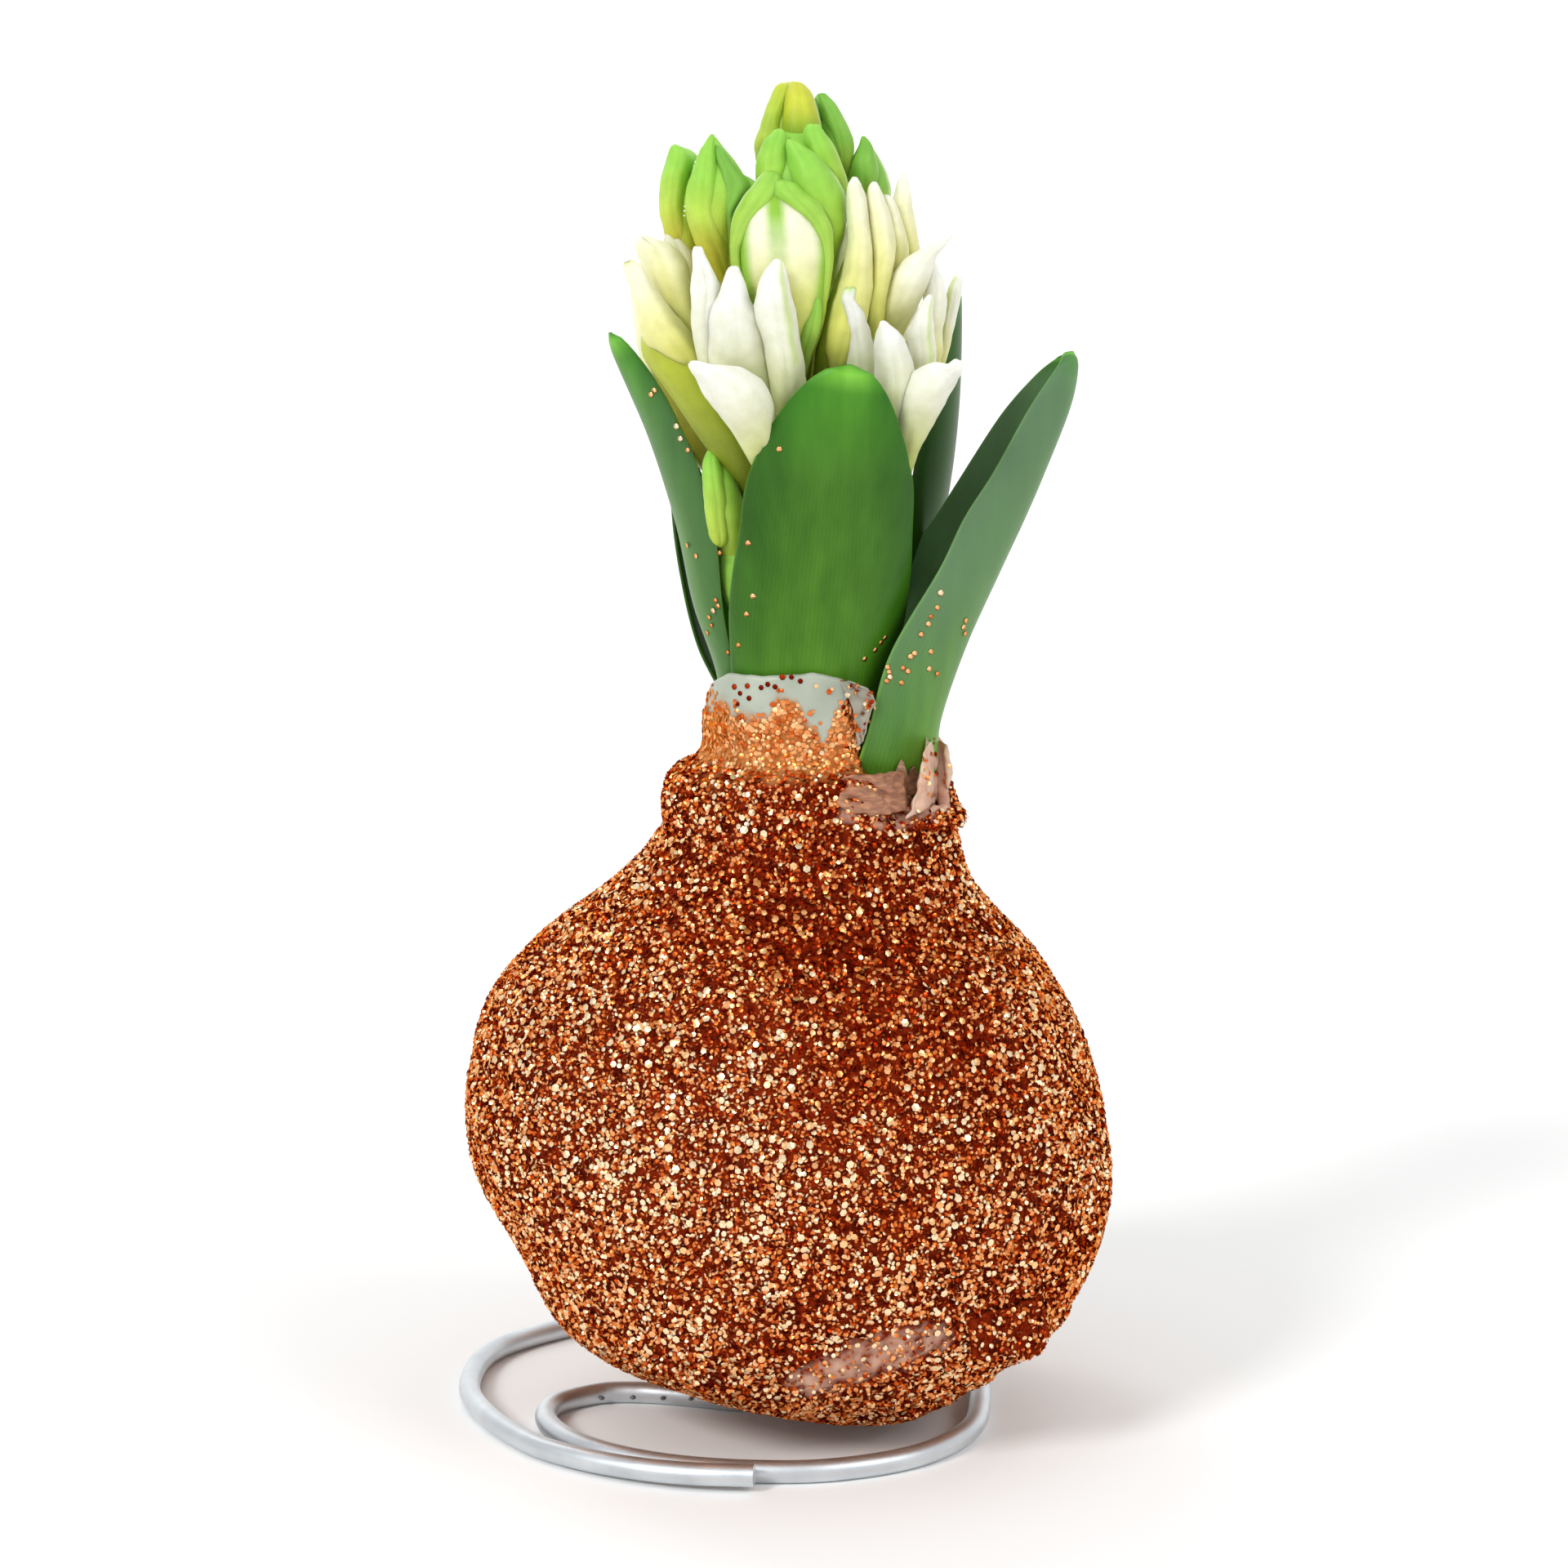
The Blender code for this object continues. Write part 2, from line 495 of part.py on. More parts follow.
def make_leaf(name, collection, midrib, half_width, roll, facing):
    points = leaf_points(midrib, half_width, roll, facing, LEAF_ROWS, LEAF_COLUMNS)
    wide = LEAF_COLUMNS + 1
    faces = [(r * wide + i, r * wide + i + 1, (r + 1) * wide + i + 1, (r + 1) * wide + i)
             for r in range(LEAF_ROWS) for i in range(LEAF_COLUMNS)]
    leaf = add_object(name, build_mesh(name, points, faces, True), "leaf", collection)
    solidify(leaf, LEAF_THICKNESS)
    return leaf


def make_stem(collection):
    *axis, radii = zip(*through(STEM, 12))
    return tube("flower_stem", list(zip(*axis)), radii, 10, "stem", collection)


def stem_at(height):
    """Axis and radius of the stem at a height."""
    rows = np.array(STEM)
    x, y, radius = (float(np.interp(height, rows[:, 2], rows[:, k])) for k in (0, 1, 3))
    return Vector((x, y, height)), radius


def floret_frame(tier, azimuth, height, tip):
    """A function that gives, at a share of the floret's length, its axis point and its two sides."""
    axis, radius = stem_at(height)
    foot = axis + (radius + FOOT_CLEARANCE) * heading(azimuth)
    start = foot + FOOT_RUN * (heading(azimuth) + Vector((0, 0, 0.3)))
    if height > STEM[-1][2]:
        foot = axis
        start = foot + Vector((0, 0, FOOT_RUN))
    tip = Vector(tip)
    reach = Vector((tip.x - axis.x, tip.y - axis.y, 0))
    out, up = TIERS[tier]
    bend = axis + out * reach + Vector((0, 0, up * (tip.z - height)))
    steps = np.linspace(0, 1, 41)
    curve = [(1 - t) ** 3 * foot + 3 * t * (1 - t) ** 2 * start + 3 * t * t * (1 - t) * bend
             + t ** 3 * tip for t in steps.tolist()]
    lengths = np.cumsum([0.0] + [(b - a).length for a, b in zip(curve, curve[1:])])

    def frame(share):
        t = float(np.interp(share * lengths[-1], lengths, steps))
        point = ((1 - t) ** 3 * foot + 3 * t * (1 - t) ** 2 * start + 3 * t * t * (1 - t) * bend
                 + t ** 3 * tip)
        along = ((1 - t) ** 2 * (start - foot) + 2 * t * (1 - t) * (bend - start)
                 + t * t * (tip - bend)).normalized()
        side = along.cross(reach).normalized()
        return point, side.cross(along), side

    return frame


def floret_point(frame, share, angle, size, half_width, half_depth):
    point, out, side = frame(share)
    turn = math.radians(angle)
    return (point + size * half_depth * math.cos(turn) * out
            + size * half_width * math.sin(turn) * side)


def floret_spine(kind, tier, azimuth, height, tip, half_width, half_depth, turn=0.0):
    """Rows of a floret's axis: x, y, height, then its half depth and half width as plan vectors."""
    frame = floret_frame(tier, azimuth, height, tip)
    shares, sizes = zip((0, 0), *(BUD[kind] + [(1, 0)] if kind in BUD else TUBE[kind] + [(1, 1)]))
    rows = []
    for share in np.linspace(0, 1, SPINE_STEPS).tolist():
        point, out, side = frame(share)
        size = float(np.interp(share, shares, sizes))
        rows.append([*point, *(size * half_depth * out.xy), *(size * half_width * side.xy)])
    return np.array(rows)


def read_spine(rows, heights):
    """Rows of a spine at the given heights."""
    return np.stack([np.interp(heights, rows[:, 2], rows[:, k]) for k in (0, 1, 3, 4, 5, 6)], axis=1)


def press(points, held, name, spines, clearance):
    """Draws a floret's points in towards its axis, so that each stays on its side of every border.

    A border stands between two florets at each height, nearer to the slimmer one, and round the
    stem. The first held points stay where they are.
    """
    points = np.array(points)
    heights = points[:, 2]
    own = read_spine(spines[name], heights)
    away = points[:, :2] - own[:, :2]
    reach = np.linalg.norm(away, axis=1) + TINY
    away /= reach[:, None]
    room = np.full(len(points), FREE_REACH)
    stem = np.array(STEM)
    for other, rows in spines.items():
        if other == name:
            continue
        there = read_spine(rows, heights)
        towards = there[:, :2] - own[:, :2]
        distance = np.linalg.norm(towards, axis=1) + TINY
        towards /= distance[:, None]
        girth, their_girth = (np.hypot((one[:, 2:4] * towards).sum(axis=1),
                                       (one[:, 4:6] * towards).sum(axis=1)) + LEAST_GIRTH
                              for one in (own, there))
        border = distance * girth / (girth + their_girth)
        facing = (away * towards).sum(axis=1)
        beside = (heights > rows[0, 2]) & (heights < rows[-1, 2] + PRESS_ABOVE) & (facing > BESIDE)
        ahead = (border - clearance) / np.maximum(facing, BESIDE)
        room = np.where(beside, np.minimum(room, ahead), room)
    core = np.stack([np.interp(heights, stem[:, 2], stem[:, k]) for k in (0, 1, 3)], axis=1)
    towards = core[:, :2] - own[:, :2]
    distance = np.linalg.norm(towards, axis=1) + TINY
    facing = (away * towards).sum(axis=1) / distance
    beside = (heights < stem[-1, 2]) & (facing > BESIDE)
    ahead = (distance - core[:, 2] - clearance) / np.maximum(facing, BESIDE)
    room = np.where(beside, np.minimum(room, ahead), room)
    room = np.maximum(room, LEAST_REACH)
    knee = PRESS_KNEE * room
    squeezed = knee + (room - knee) * (1 - np.exp(np.minimum(knee - reach, 0) / (room - knee)))
    reach = np.where(reach > knee, squeezed, reach)
    reach[:held] = np.linalg.norm(points[:held, :2] - own[:held, :2], axis=1)
    points[:, :2] = own[:, :2] + away * reach[:, None]
    return [Vector(p) for p in points.tolist()]


def bell_mesh(name, kind, frame, half_width, half_depth, spines, turn=0.0):
    """An open floret: a tube that parts into six lobes, of which an open one bends the first back."""
    step = 360 / LOBES
    columns = 2 * LOBES
    points, faces = [frame(0)[0]], []
    for share, size in TUBE[kind]:
        points += [floret_point(frame, share, turn + step / 2 * (i - 1), size, half_width, half_depth)
                   for i in range(columns)]
    for i in range(columns):
        j = (i + 1) % columns
        faces.append((0, 1 + j, 1 + i))
        for low in range(1, 1 + columns * (len(TUBE[kind]) - 1), columns):
            faces.append((low + i, low + j, low + columns + j, low + columns + i))
    mouth, mouth_size = TUBE[kind][-1]
    first = 1 + columns * (len(TUBE[kind]) - 1)
    for lobe in range(LOBES):
        middle = turn + step * lobe
        below = [first + (2 * lobe + i) % columns for i in range(3)]
        drooping = kind == "open" and lobe == 0
        lean = DROOP if drooping else FLARE[kind]
        length = DROOP_LENGTH if drooping else 1.0
        layer = LAYERS[lobe % 2]
        for share, *half_angles, bent in LOBE:
            half_angle = half_angles[lobe % 2]
            size = (mouth_size + (layer - mouth_size) * min(2 * share, 1)) + lean * bent
            place = mouth + (1 - mouth) * share * length
            angles = (middle,) if half_angle == 0 else (middle - half_angle, middle, middle + half_angle)
            row = list(range(len(points), len(points) + len(angles)))
            points += [floret_point(frame, place, a, size, half_width, half_depth) for a in angles]
            if len(row) == 1:
                faces += [(below[0], below[1], row[0]), (below[1], below[2], row[0])]
            else:
                faces += [(below[0], below[1], row[1], row[0]), (below[1], below[2], row[2], row[1])]
            below = row
    points = press(points, 1 + columns, name, spines, PRESS_CLEARANCE + PETAL_THICKNESS / 2)
    return build_mesh(name, points, faces, True)


def bud_mesh(name, kind, frame, half_width, half_depth, spines):
    """A closed bud with a groove between each two of its six lobes."""
    columns = 2 * LOBES
    rings = [[floret_point(frame, share, 360 * i / columns, size * (1 - BUD_GROOVE * (i % 2)),
                           half_width, half_depth) for i in range(columns)]
             for share, size in BUD[kind]]
    points = press([p for ring in rings for p in ring], columns, name, spines, PRESS_CLEARANCE)
    rings = [points[i:i + columns] for i in range(0, len(points), columns)]
    return loft(name, rings, frame(0)[0], frame(1)[0])


def make_floret(name, collection, spines):
    kind, tier, azimuth, height, tip, half_width, half_depth, *turn = FLORETS[name]
    frame = floret_frame(tier, azimuth, height, tip)
    if kind in BUD:
        mesh = bud_mesh(name, kind, frame, half_width, half_depth, spines)
        return add_object(name, mesh, kind, collection)
    mesh = bell_mesh(name, kind, frame, half_width, half_depth, spines, *turn)
    floret = add_object(name, mesh, kind, collection)
    solidify(floret, PETAL_THICKNESS)
    return floret


def main():
    for old in list(bpy.data.objects):
        bpy.data.objects.remove(old)
    plant = bpy.data.collections.new("waxed_hyacinth")
    cutters = bpy.data.collections.new("cutters")
    for made in (plant, cutters):
        bpy.context.scene.collection.children.link(made)
    pin_hole = make_pin_hole(cutters)
    make_wire(plant)
    make_wax(plant, cutters, pin_hole)
    make_bulb(plant, pin_hole)
    make_tunic(plant)
    for name, shape in LEAVES.items():
        make_leaf(name, plant, **shape)
    make_stem(plant)
    spines = {name: floret_spine(*shape) for name, shape in FLORETS.items()}
    for name in FLORETS:
        make_floret(name, plant, spines)
    root = bpy.data.objects.new("plant_axis", None)
    root.location = Vector((*PLANT_OFFSET, 0)) * MM
    plant.objects.link(root)
    for piece in list(plant.objects) + list(cutters.objects):
        if piece is not root:
            piece.parent = root


main()
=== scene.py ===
# %% [markdown]
# A hyacinth in flower on a waxed bulb.
# The real plant was forced in its own bulb, which was dipped in wax, rolled in copper glitter and
# set on a bent wire. This lesson dresses the imported solids: it loads them as a fixed frame and puts
# a finer piece in the place of each one, except the hidden bulb, whose solid only gets a material.
# All lengths below are millimetres until a mesh is made.


# %% Load the imported model
import math

import bpy
import numpy as np
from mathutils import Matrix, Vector, noise


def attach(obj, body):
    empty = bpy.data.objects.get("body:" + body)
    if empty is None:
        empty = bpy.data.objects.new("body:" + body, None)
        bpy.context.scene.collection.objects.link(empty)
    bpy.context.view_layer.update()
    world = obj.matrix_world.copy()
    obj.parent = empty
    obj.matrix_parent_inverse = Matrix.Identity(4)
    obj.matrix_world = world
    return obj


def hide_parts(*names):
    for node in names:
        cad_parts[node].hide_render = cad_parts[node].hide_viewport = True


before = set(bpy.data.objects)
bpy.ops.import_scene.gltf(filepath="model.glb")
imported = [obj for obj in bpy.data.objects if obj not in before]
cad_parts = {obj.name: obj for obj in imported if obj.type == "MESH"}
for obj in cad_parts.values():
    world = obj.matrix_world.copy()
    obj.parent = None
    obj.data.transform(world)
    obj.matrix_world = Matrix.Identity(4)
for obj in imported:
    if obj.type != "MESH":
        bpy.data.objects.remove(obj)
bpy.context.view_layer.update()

MM = 0.001
PLANT_AXIS = np.array((0.62, -0.33, 0.0))    # the plant's own axis in the object's frame


# %% [markdown]
# The camera stands where the photographer stood: a long lens, a little above the middle of the
# plant and tilted down by a few degrees, so the wire ring shows as a flat ellipse.


# %% Camera
CAMERA_TILT = 8.5          # degrees down
CAMERA_DISTANCE = 429.75
CAMERA_TARGET = (0.62, -0.33, 75.7)
CAMERA_LENS = 84.375
SENSOR_WIDTH = 36          # width of the film that the lens length is meant for

tilt = math.radians(CAMERA_TILT)
camera = bpy.data.objects.new("camera", bpy.data.cameras.new("camera"))
camera.data.lens = CAMERA_LENS
camera.data.sensor_width = SENSOR_WIDTH
camera.data.clip_start, camera.data.clip_end = 0.01, 20
camera.location = (Vector(CAMERA_TARGET) + CAMERA_DISTANCE * Vector((0, -math.cos(tilt), math.sin(tilt)))) * MM
camera.rotation_euler = (math.radians(90) - tilt, 0, 0)
bpy.context.scene.collection.objects.link(camera)
bpy.context.scene.camera = camera
print("camera at", [round(c, 3) for c in camera.location])


# %% [markdown]
# Much on a plant follows no rule, so those parts are drawn as a sculptor would: by their outline in
# the picture and a depth. One function turns a point of the picture, 1920 units wide, and a depth
# behind the plant's axis into a place on the plant; its twin turns places into the picture.


# %% From the picture to the plant and back
PICTURE_MIDDLE = 960
PICTURE_FOCUS = 2 * PICTURE_MIDDLE * CAMERA_LENS / SENSOR_WIDTH
VIEW_FROM = np.array(camera.location) / MM - PLANT_AXIS
VIEW_AHEAD = np.array((0, math.cos(tilt), -math.sin(tilt)))
VIEW_UP = np.array((0, math.sin(tilt), math.cos(tilt)))


def seen(across, down, depth):
    """The place on the plant that the picture shows at a point, at a depth along Y."""
    ray = VIEW_AHEAD + (PICTURE_MIDDLE - down) / PICTURE_FOCUS * VIEW_UP
    ray = ray + np.array(((across - PICTURE_MIDDLE) / PICTURE_FOCUS, 0, 0))
    return VIEW_FROM + ray * (depth - VIEW_FROM[1]) / ray[1]


def in_picture(places):
    """Where the picture shows an array of places."""
    away = np.asarray(places) - VIEW_FROM
    ahead = away @ VIEW_AHEAD
    return np.stack([PICTURE_MIDDLE + PICTURE_FOCUS * away[..., 0] / ahead,
                     PICTURE_MIDDLE - PICTURE_FOCUS * (away @ VIEW_UP) / ahead], axis=-1)


def front_depth(places, across, down, near=9.0):
    """Depth of the foremost of the places that the picture shows near a point."""
    away = np.hypot(*(in_picture(places) - (across, down)).T)
    return float(places[away < max(near, away.min() + 4)][:, 1].min())


print("picture point of the axis at 75 mm:", in_picture([(0, 0, 75.0)])[0].round(1))


# %% [markdown]
# Every colour is written as the hex value that a painter would pick on a screen, so one function
# turns it to the linear numbers that the renderer works with. One more adds a node, with its
# settings and its links, to any tree: for a material, for the world or for geometry.


# %% Colours and nodes
def linear(hex_colour):
    """Linear RGBA of an sRGB hex colour."""
    shares = [int(hex_colour[i:i + 2], 16) / 255 for i in (1, 3, 5)]
    return [s / 12.92 if s <= 0.04045 else ((s + 0.055) / 1.055) ** 2.4 for s in shares] + [1.0]


RAMP, MIX, MATHS, BUMP, RANGE, FIELD = (    # kinds of node that nearly every finish uses
    "ShaderNodeValToRGB", "ShaderNodeMix", "ShaderNodeMath", "ShaderNodeBump", "ShaderNodeMapRange",
    "ShaderNodeAttribute")


def add_node(tree, kind, sockets=None, stops=(), **settings):
    """Adds a node with its settings and links.

    sockets gives inputs, by name or number, a value or another node's output; stops are the
    positions and hex colours of a colour ramp.
    """
    node = tree.nodes.new(kind)
    for setting, value in settings.items():
        setattr(node, setting, value)
    for socket, value in (sockets or {}).items():
        if isinstance(value, bpy.types.NodeSocket):
            tree.links.new(value, node.inputs[socket])
        else:
            node.inputs[socket].default_value = value
    elements = node.color_ramp.elements if stops else []
    while len(elements) < len(stops):
        elements.new(1.0)
    for element, (position, colour) in zip(elements, stops):
        element.position, element.color = position, linear(colour)
    return node


def new_material(name, **sockets):
    """A material with a Principled shader; underscores in a socket's name stand for spaces."""
    made = bpy.data.materials.new(name)
    made.use_nodes = True
    shader = made.node_tree.nodes["Principled BSDF"]
    for socket, value in sockets.items():
        shader.inputs[socket.replace("_", " ")].default_value = value
    return made, made.node_tree, shader.inputs


def plug(tree, sockets, **outputs):
    """Links outputs to a shader's sockets, which are named as in new_material."""
    for socket, output in outputs.items():
        tree.links.new(output, sockets[socket.replace("_", " ")])


def grain(tree, size_mm, detail=3.0, stretch=(1, 1, 1)):
    """Noise on the object's own coordinates whose spots are about size_mm across."""
    place = add_node(tree, "ShaderNodeTexCoord").outputs["Object"]
    place = add_node(tree, "ShaderNodeMapping", {"Vector": place, "Scale": stretch}).outputs[0]
    return add_node(tree, "ShaderNodeTexNoise",
                    {"Vector": place, "Scale": 1 / (size_mm * MM), "Detail": detail}).outputs["Fac"]


def mottled(name, spots, stops, **settings):
    """A material whose colour wanders between the stops in spots of a grain."""
    made, tree, sockets = new_material(name, **settings)
    plug(tree, sockets, Base_Color=add_node(tree, RAMP, {"Fac": grain(tree, *spots)}, stops).outputs[0])
    return made


# %% [markdown]
# The studio is plain: a pale floor that runs up into a pale wall, and soft distant lamps low at the
# front left and right and behind. Overhead it is dimmer, because the glitter needs contrast: a flake
# only flashes when it mirrors something much brighter than what lies beside it.


# %% Floor, wall and lamps
def studio_floor():
    profile = [(-1.6, 0.0), (1.0, 0.0), (1.35, 0.06), (1.6, 0.22), (1.72, 0.5), (1.75, 2.6)]
    vertices = [(x, y, z) for y, z in profile for x in (-2.4, 2.4)]
    faces = [(2 * i, 2 * i + 1, 2 * i + 3, 2 * i + 2) for i in range(len(profile) - 1)]
    mesh = bpy.data.meshes.new("studio_floor")
    mesh.from_pydata(vertices, [], faces)
    mesh.shade_smooth()
    floor = bpy.data.objects.new("studio_floor", mesh)
    bpy.context.scene.collection.objects.link(floor)
    mesh.materials.append(mottled("matt white paper", (900,), [(0.3, "#F1F1EF"), (0.7, "#F7F7F6")], Roughness=0.9))


def lamp(name, azimuth, elevation, strength, softness):
    """A distant soft lamp; softness is its width in degrees as seen from the plant."""
    data = bpy.data.lights.new(name, "SUN")
    data.energy, data.angle = strength, math.radians(softness)
    made = bpy.data.objects.new(name, data)
    made.rotation_euler = (math.radians(90 - elevation), 0, math.radians(azimuth + 90))
    bpy.context.scene.collection.objects.link(made)


studio_floor()
lamp("key", -130, 34, 1.5, 16)      # azimuths count from +X towards the back
lamp("fill", -38, 40, 0.7, 30)
lamp("back", 120, 48, 0.9, 25)
world = bpy.data.worlds.new("studio")
bpy.context.scene.world = world
world.use_nodes = True
world.node_tree.nodes["Background"].inputs["Color"].default_value = linear("#F4F5F7")
world.node_tree.nodes["Background"].inputs["Strength"].default_value = 0.78
bpy.context.scene.view_settings.view_transform = "Standard"


# %% [markdown]
# Nearly everything on this plant is a lofted body: rings of points, skinned with quads and closed
# with a pole at each end. A blade, a petal and a scrap of skin are the same thing again, because a
# sheet with a thickness is a row of very flat rings. So four small helpers make almost every piece.


# %% Lofts, sheets and pieces
def through(rows, count):
    """count rows read evenly along a Catmull-Rom curve through the given rows of numbers."""
    rows = np.array(rows, float)
    ends = np.vstack([2 * rows[0] - rows[1], rows, 2 * rows[-1] - rows[-2]])
    shares = np.linspace(0, len(rows) - 1, count)
    i = np.minimum(shares.astype(int), len(rows) - 2)
    t = (shares - i)[:, None]
    a, b, c, d = ends[i], ends[i + 1], ends[i + 2], ends[i + 3]
    return 0.5 * (2 * b + (c - a) * t + (2 * a - 5 * b + 4 * c - d) * t ** 2 + (3 * b - a - 3 * c + d) * t ** 3)


def heading(azimuth):
    """Unit vector on the ground plane; azimuths count from +X towards the back."""
    return np.array((math.cos(math.radians(azimuth)), math.sin(math.radians(azimuth)), 0.0))


def unit(vectors):
    return vectors / (np.linalg.norm(vectors, axis=-1, keepdims=True) + 1e-12)


def loft(rings, first, last):
    """Vertices and faces of a closed body through rings of equal length, with a pole at each end."""
    rings = np.asarray(rings, float)
    count, columns = rings.shape[:2]
    vertices = np.vstack([rings.reshape(-1, 3), first, last])
    i = np.arange(columns)
    j = (i + 1) % columns
    start = np.arange(count - 1)[:, None] * columns
    quads = np.stack([start + i, start + j, start + columns + j, start + columns + i], axis=-1)
    top = (count - 1) * columns
    fans = [(b, a, count * columns) for a, b in zip(i.tolist(), j.tolist())]
    fans += [(top + a, top + b, count * columns + 1) for a, b in zip(i.tolist(), j.tolist())]
    a, b, c, d = (vertices[quads.reshape(-1, 4)[:, k]] for k in range(4))
    volume = (np.cross(a, b) * c).sum() + (np.cross(a, c) * d).sum()
    faces = quads.reshape(-1, 4).tolist() + fans
    return vertices, faces if volume > 0 else [face[::-1] for face in faces]


def sheet_body(surface, thickness):
    """A grid of points with a thickness at each; the two sides meet in rounded edges."""
    surface = np.asarray(surface, float)
    normals = unit(np.cross(np.gradient(surface, axis=1), np.gradient(surface, axis=0)))
    normals[0], normals[-1] = normals[1], normals[-2]
    half = np.asarray(thickness, float)[..., None] / 2
    front, back = surface + half * normals, surface - half * normals
    rings = np.concatenate([front, back[:, -2:0:-1]], axis=1)
    return loft(rings, surface[0].mean(axis=0), surface[-1].mean(axis=0))


def sheet_field(values):
    """A field on the grid of a sheet, laid out as sheet_body lays out its vertices."""
    values = np.asarray(values, float)
    rings = np.concatenate([values, values[:, -2:0:-1]], axis=1).reshape(-1, *values.shape[2:])
    return np.concatenate([rings, values[:1].mean(axis=1), values[-1:].mean(axis=1)])


def link_piece(name, mesh, slot, replaces=()):
    """Shows a mesh as a piece that moves with the one body."""
    made = bpy.data.objects.new(name, mesh)
    bpy.context.scene.collection.objects.link(made)
    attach(made, "root")
    if replaces:
        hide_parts(*replaces)
    print(name, sum(len(p.vertices) - 2 for p in mesh.polygons), "triangles")
    return made


def make_piece(name, bodies, material, slot, replaces=(), **fields):
    """One mesh object from lofted bodies; each field is a list with an array for each body."""
    vertices, faces = [], []
    for body_vertices, body_faces in bodies:
        shift = sum(len(v) for v in vertices)
        faces += [[shift + i for i in face] for face in body_faces]
        vertices.append(body_vertices)
    mesh = bpy.data.meshes.new(name)
    mesh.from_pydata((np.vstack(vertices) + PLANT_AXIS) * MM, [], faces)
    for field, arrays in fields.items():
        values = np.concatenate(arrays)
        coloured = values.ndim == 2
        kept = mesh.attributes.new(field, "FLOAT_COLOR" if coloured else "FLOAT", "POINT")
        kept.data.foreach_set("color" if coloured else "value", values.astype(np.float32).ravel())
    mesh.shade_smooth()
    mesh.materials.append(material)
    return link_piece(name, mesh, slot, replaces)


# %% [markdown]
# Geometry Nodes make what repeats or follows a path. A tree gets its sizes as named inputs, and the
# result is kept as a plain mesh, because only plain meshes travel with the finished part.


# %% Geometry node helpers
def node_tree(name, **sizes):
    """A geometry node tree with one named number input for each size."""
    tree = bpy.data.node_groups.new(name, "GeometryNodeTree")
    tree.interface.new_socket("Geometry", in_out="INPUT", socket_type="NodeSocketGeometry")
    tree.interface.new_socket("Geometry", in_out="OUTPUT", socket_type="NodeSocketGeometry")
    for size, value in sizes.items():
        kind = "NodeSocketInt" if isinstance(value, int) else "NodeSocketFloat"
        socket = tree.interface.new_socket(size.replace("_", " "), in_out="INPUT", socket_type=kind)
        socket.default_value = value
    return tree, add_node(tree, "NodeGroupInput").outputs, add_node(tree, "NodeGroupOutput").inputs


def end_tree(tree, geometry, material, result):
    """Ends a tree: its instances become real faces, which get their material."""
    plain = add_node(tree, "GeometryNodeRealizeInstances", {"Geometry": geometry}).outputs[0]
    dressed = add_node(tree, "GeometryNodeSetMaterial", {"Geometry": plain, "Material": material}).outputs[0]
    tree.links.new(dressed, result["Geometry"])


def grown(name, base, tree, **sizes):
    """The plain mesh that a node tree grows on a base mesh."""
    carrier = bpy.data.objects.new(name, base)
    bpy.context.scene.collection.objects.link(carrier)
    modifier = carrier.modifiers.new("Grow", "NODES")
    modifier.node_group = tree
    for item in tree.interface.items_tree:
        key = item.name.replace(" ", "_")
        if item.in_out == "INPUT" and key in sizes:
            modifier[item.identifier] = sizes[key]
    bpy.context.view_layer.update()
    result = bpy.data.meshes.new_from_object(carrier.evaluated_get(bpy.context.evaluated_depsgraph_get()))
    carrier.modifiers.remove(modifier)
    bpy.data.objects.remove(carrier)
    result.name = name
    return result


# %% [markdown]
# The stand is one length of soft aluminium wire, 2.6 mm thick. It starts at a cut end in front,
# goes once round, passes inside its own start, turns in below the bulb and ends in an upright pin.
# A round section swept along the route by nodes gives exactly that, so the route is all we write.


# %% Wire stand
WIRE_RADIUS = 1.3
COIL_CENTRE = (-5.2, 5.6)
COIL_ROUTE = [    # azimuth, distance from the coil's centre, height of the axis above its lowest
    (-87, 35.5, 0.65), (-99, 34.9, 0.55), (-111, 34.1, 0.35), (-124, 33.4, 0.15), (-138, 32.8, 0),
    (-158, 32.3, 0), (-178, 32.9, 0), (-201, 33.7, 0), (-222, 32.4, 0), (-245, 31.6, 0), (-270, 31.3, 0),
    (-295, 31.0, 0), (-320, 30.4, 0), (-345, 29.6, 0), (-376, 29.7, 0), (-395, 32.3, 0), (-413, 33.7, 0),
    (-431, 33.4, 0), (-447, 32.2, 0), (-464, 31.1, 0), (-480, 30.0, 0), (-495, 28.6, 0), (-509, 26.6, 0),
    (-520, 23.4, 0),
]
INNER_RUN = [(-22.6, 1.6), (-18.0, 2.2), (-13.4, 1.4), (-9.0, 0.0), (-5.6, -1.1)]
PIN = (-3.3, -1.2)
PIN_RISE = [(-0.6, 0.0, 0.5), (0.0, 0.0, 2.4), (0.0, 0.0, 12.0), (0.0, 0.0, 27.0)]


def wire_route():
    route = [np.array((*COIL_CENTRE, WIRE_RADIUS + rise)) + distance * heading(azimuth)
             for azimuth, distance, rise in COIL_ROUTE]
    route += [np.array((x, y, WIRE_RADIUS)) for x, y in INNER_RUN]
    route += [np.array((*PIN, WIRE_RADIUS)) + step for step in PIN_RISE]
    smooth = through(route, 12 * len(route))
    smooth[:, 2] = np.maximum(smooth[:, 2], WIRE_RADIUS)
    return smooth


def sweep_tree(name, material):
    tree, given, result = node_tree(name, Radius=0.001, Sides=24)
    path = add_node(tree, "GeometryNodeMeshToCurve", {"Mesh": given["Geometry"]}).outputs[0]
    ring = add_node(tree, "GeometryNodeCurvePrimitiveCircle",
                    {"Resolution": given["Sides"], "Radius": given["Radius"]}).outputs[0]
    swept = add_node(tree, "GeometryNodeCurveToMesh",
                     {"Curve": path, "Profile Curve": ring, "Fill Caps": True}).outputs[0]
    end_tree(tree, swept, material, result)
    return tree


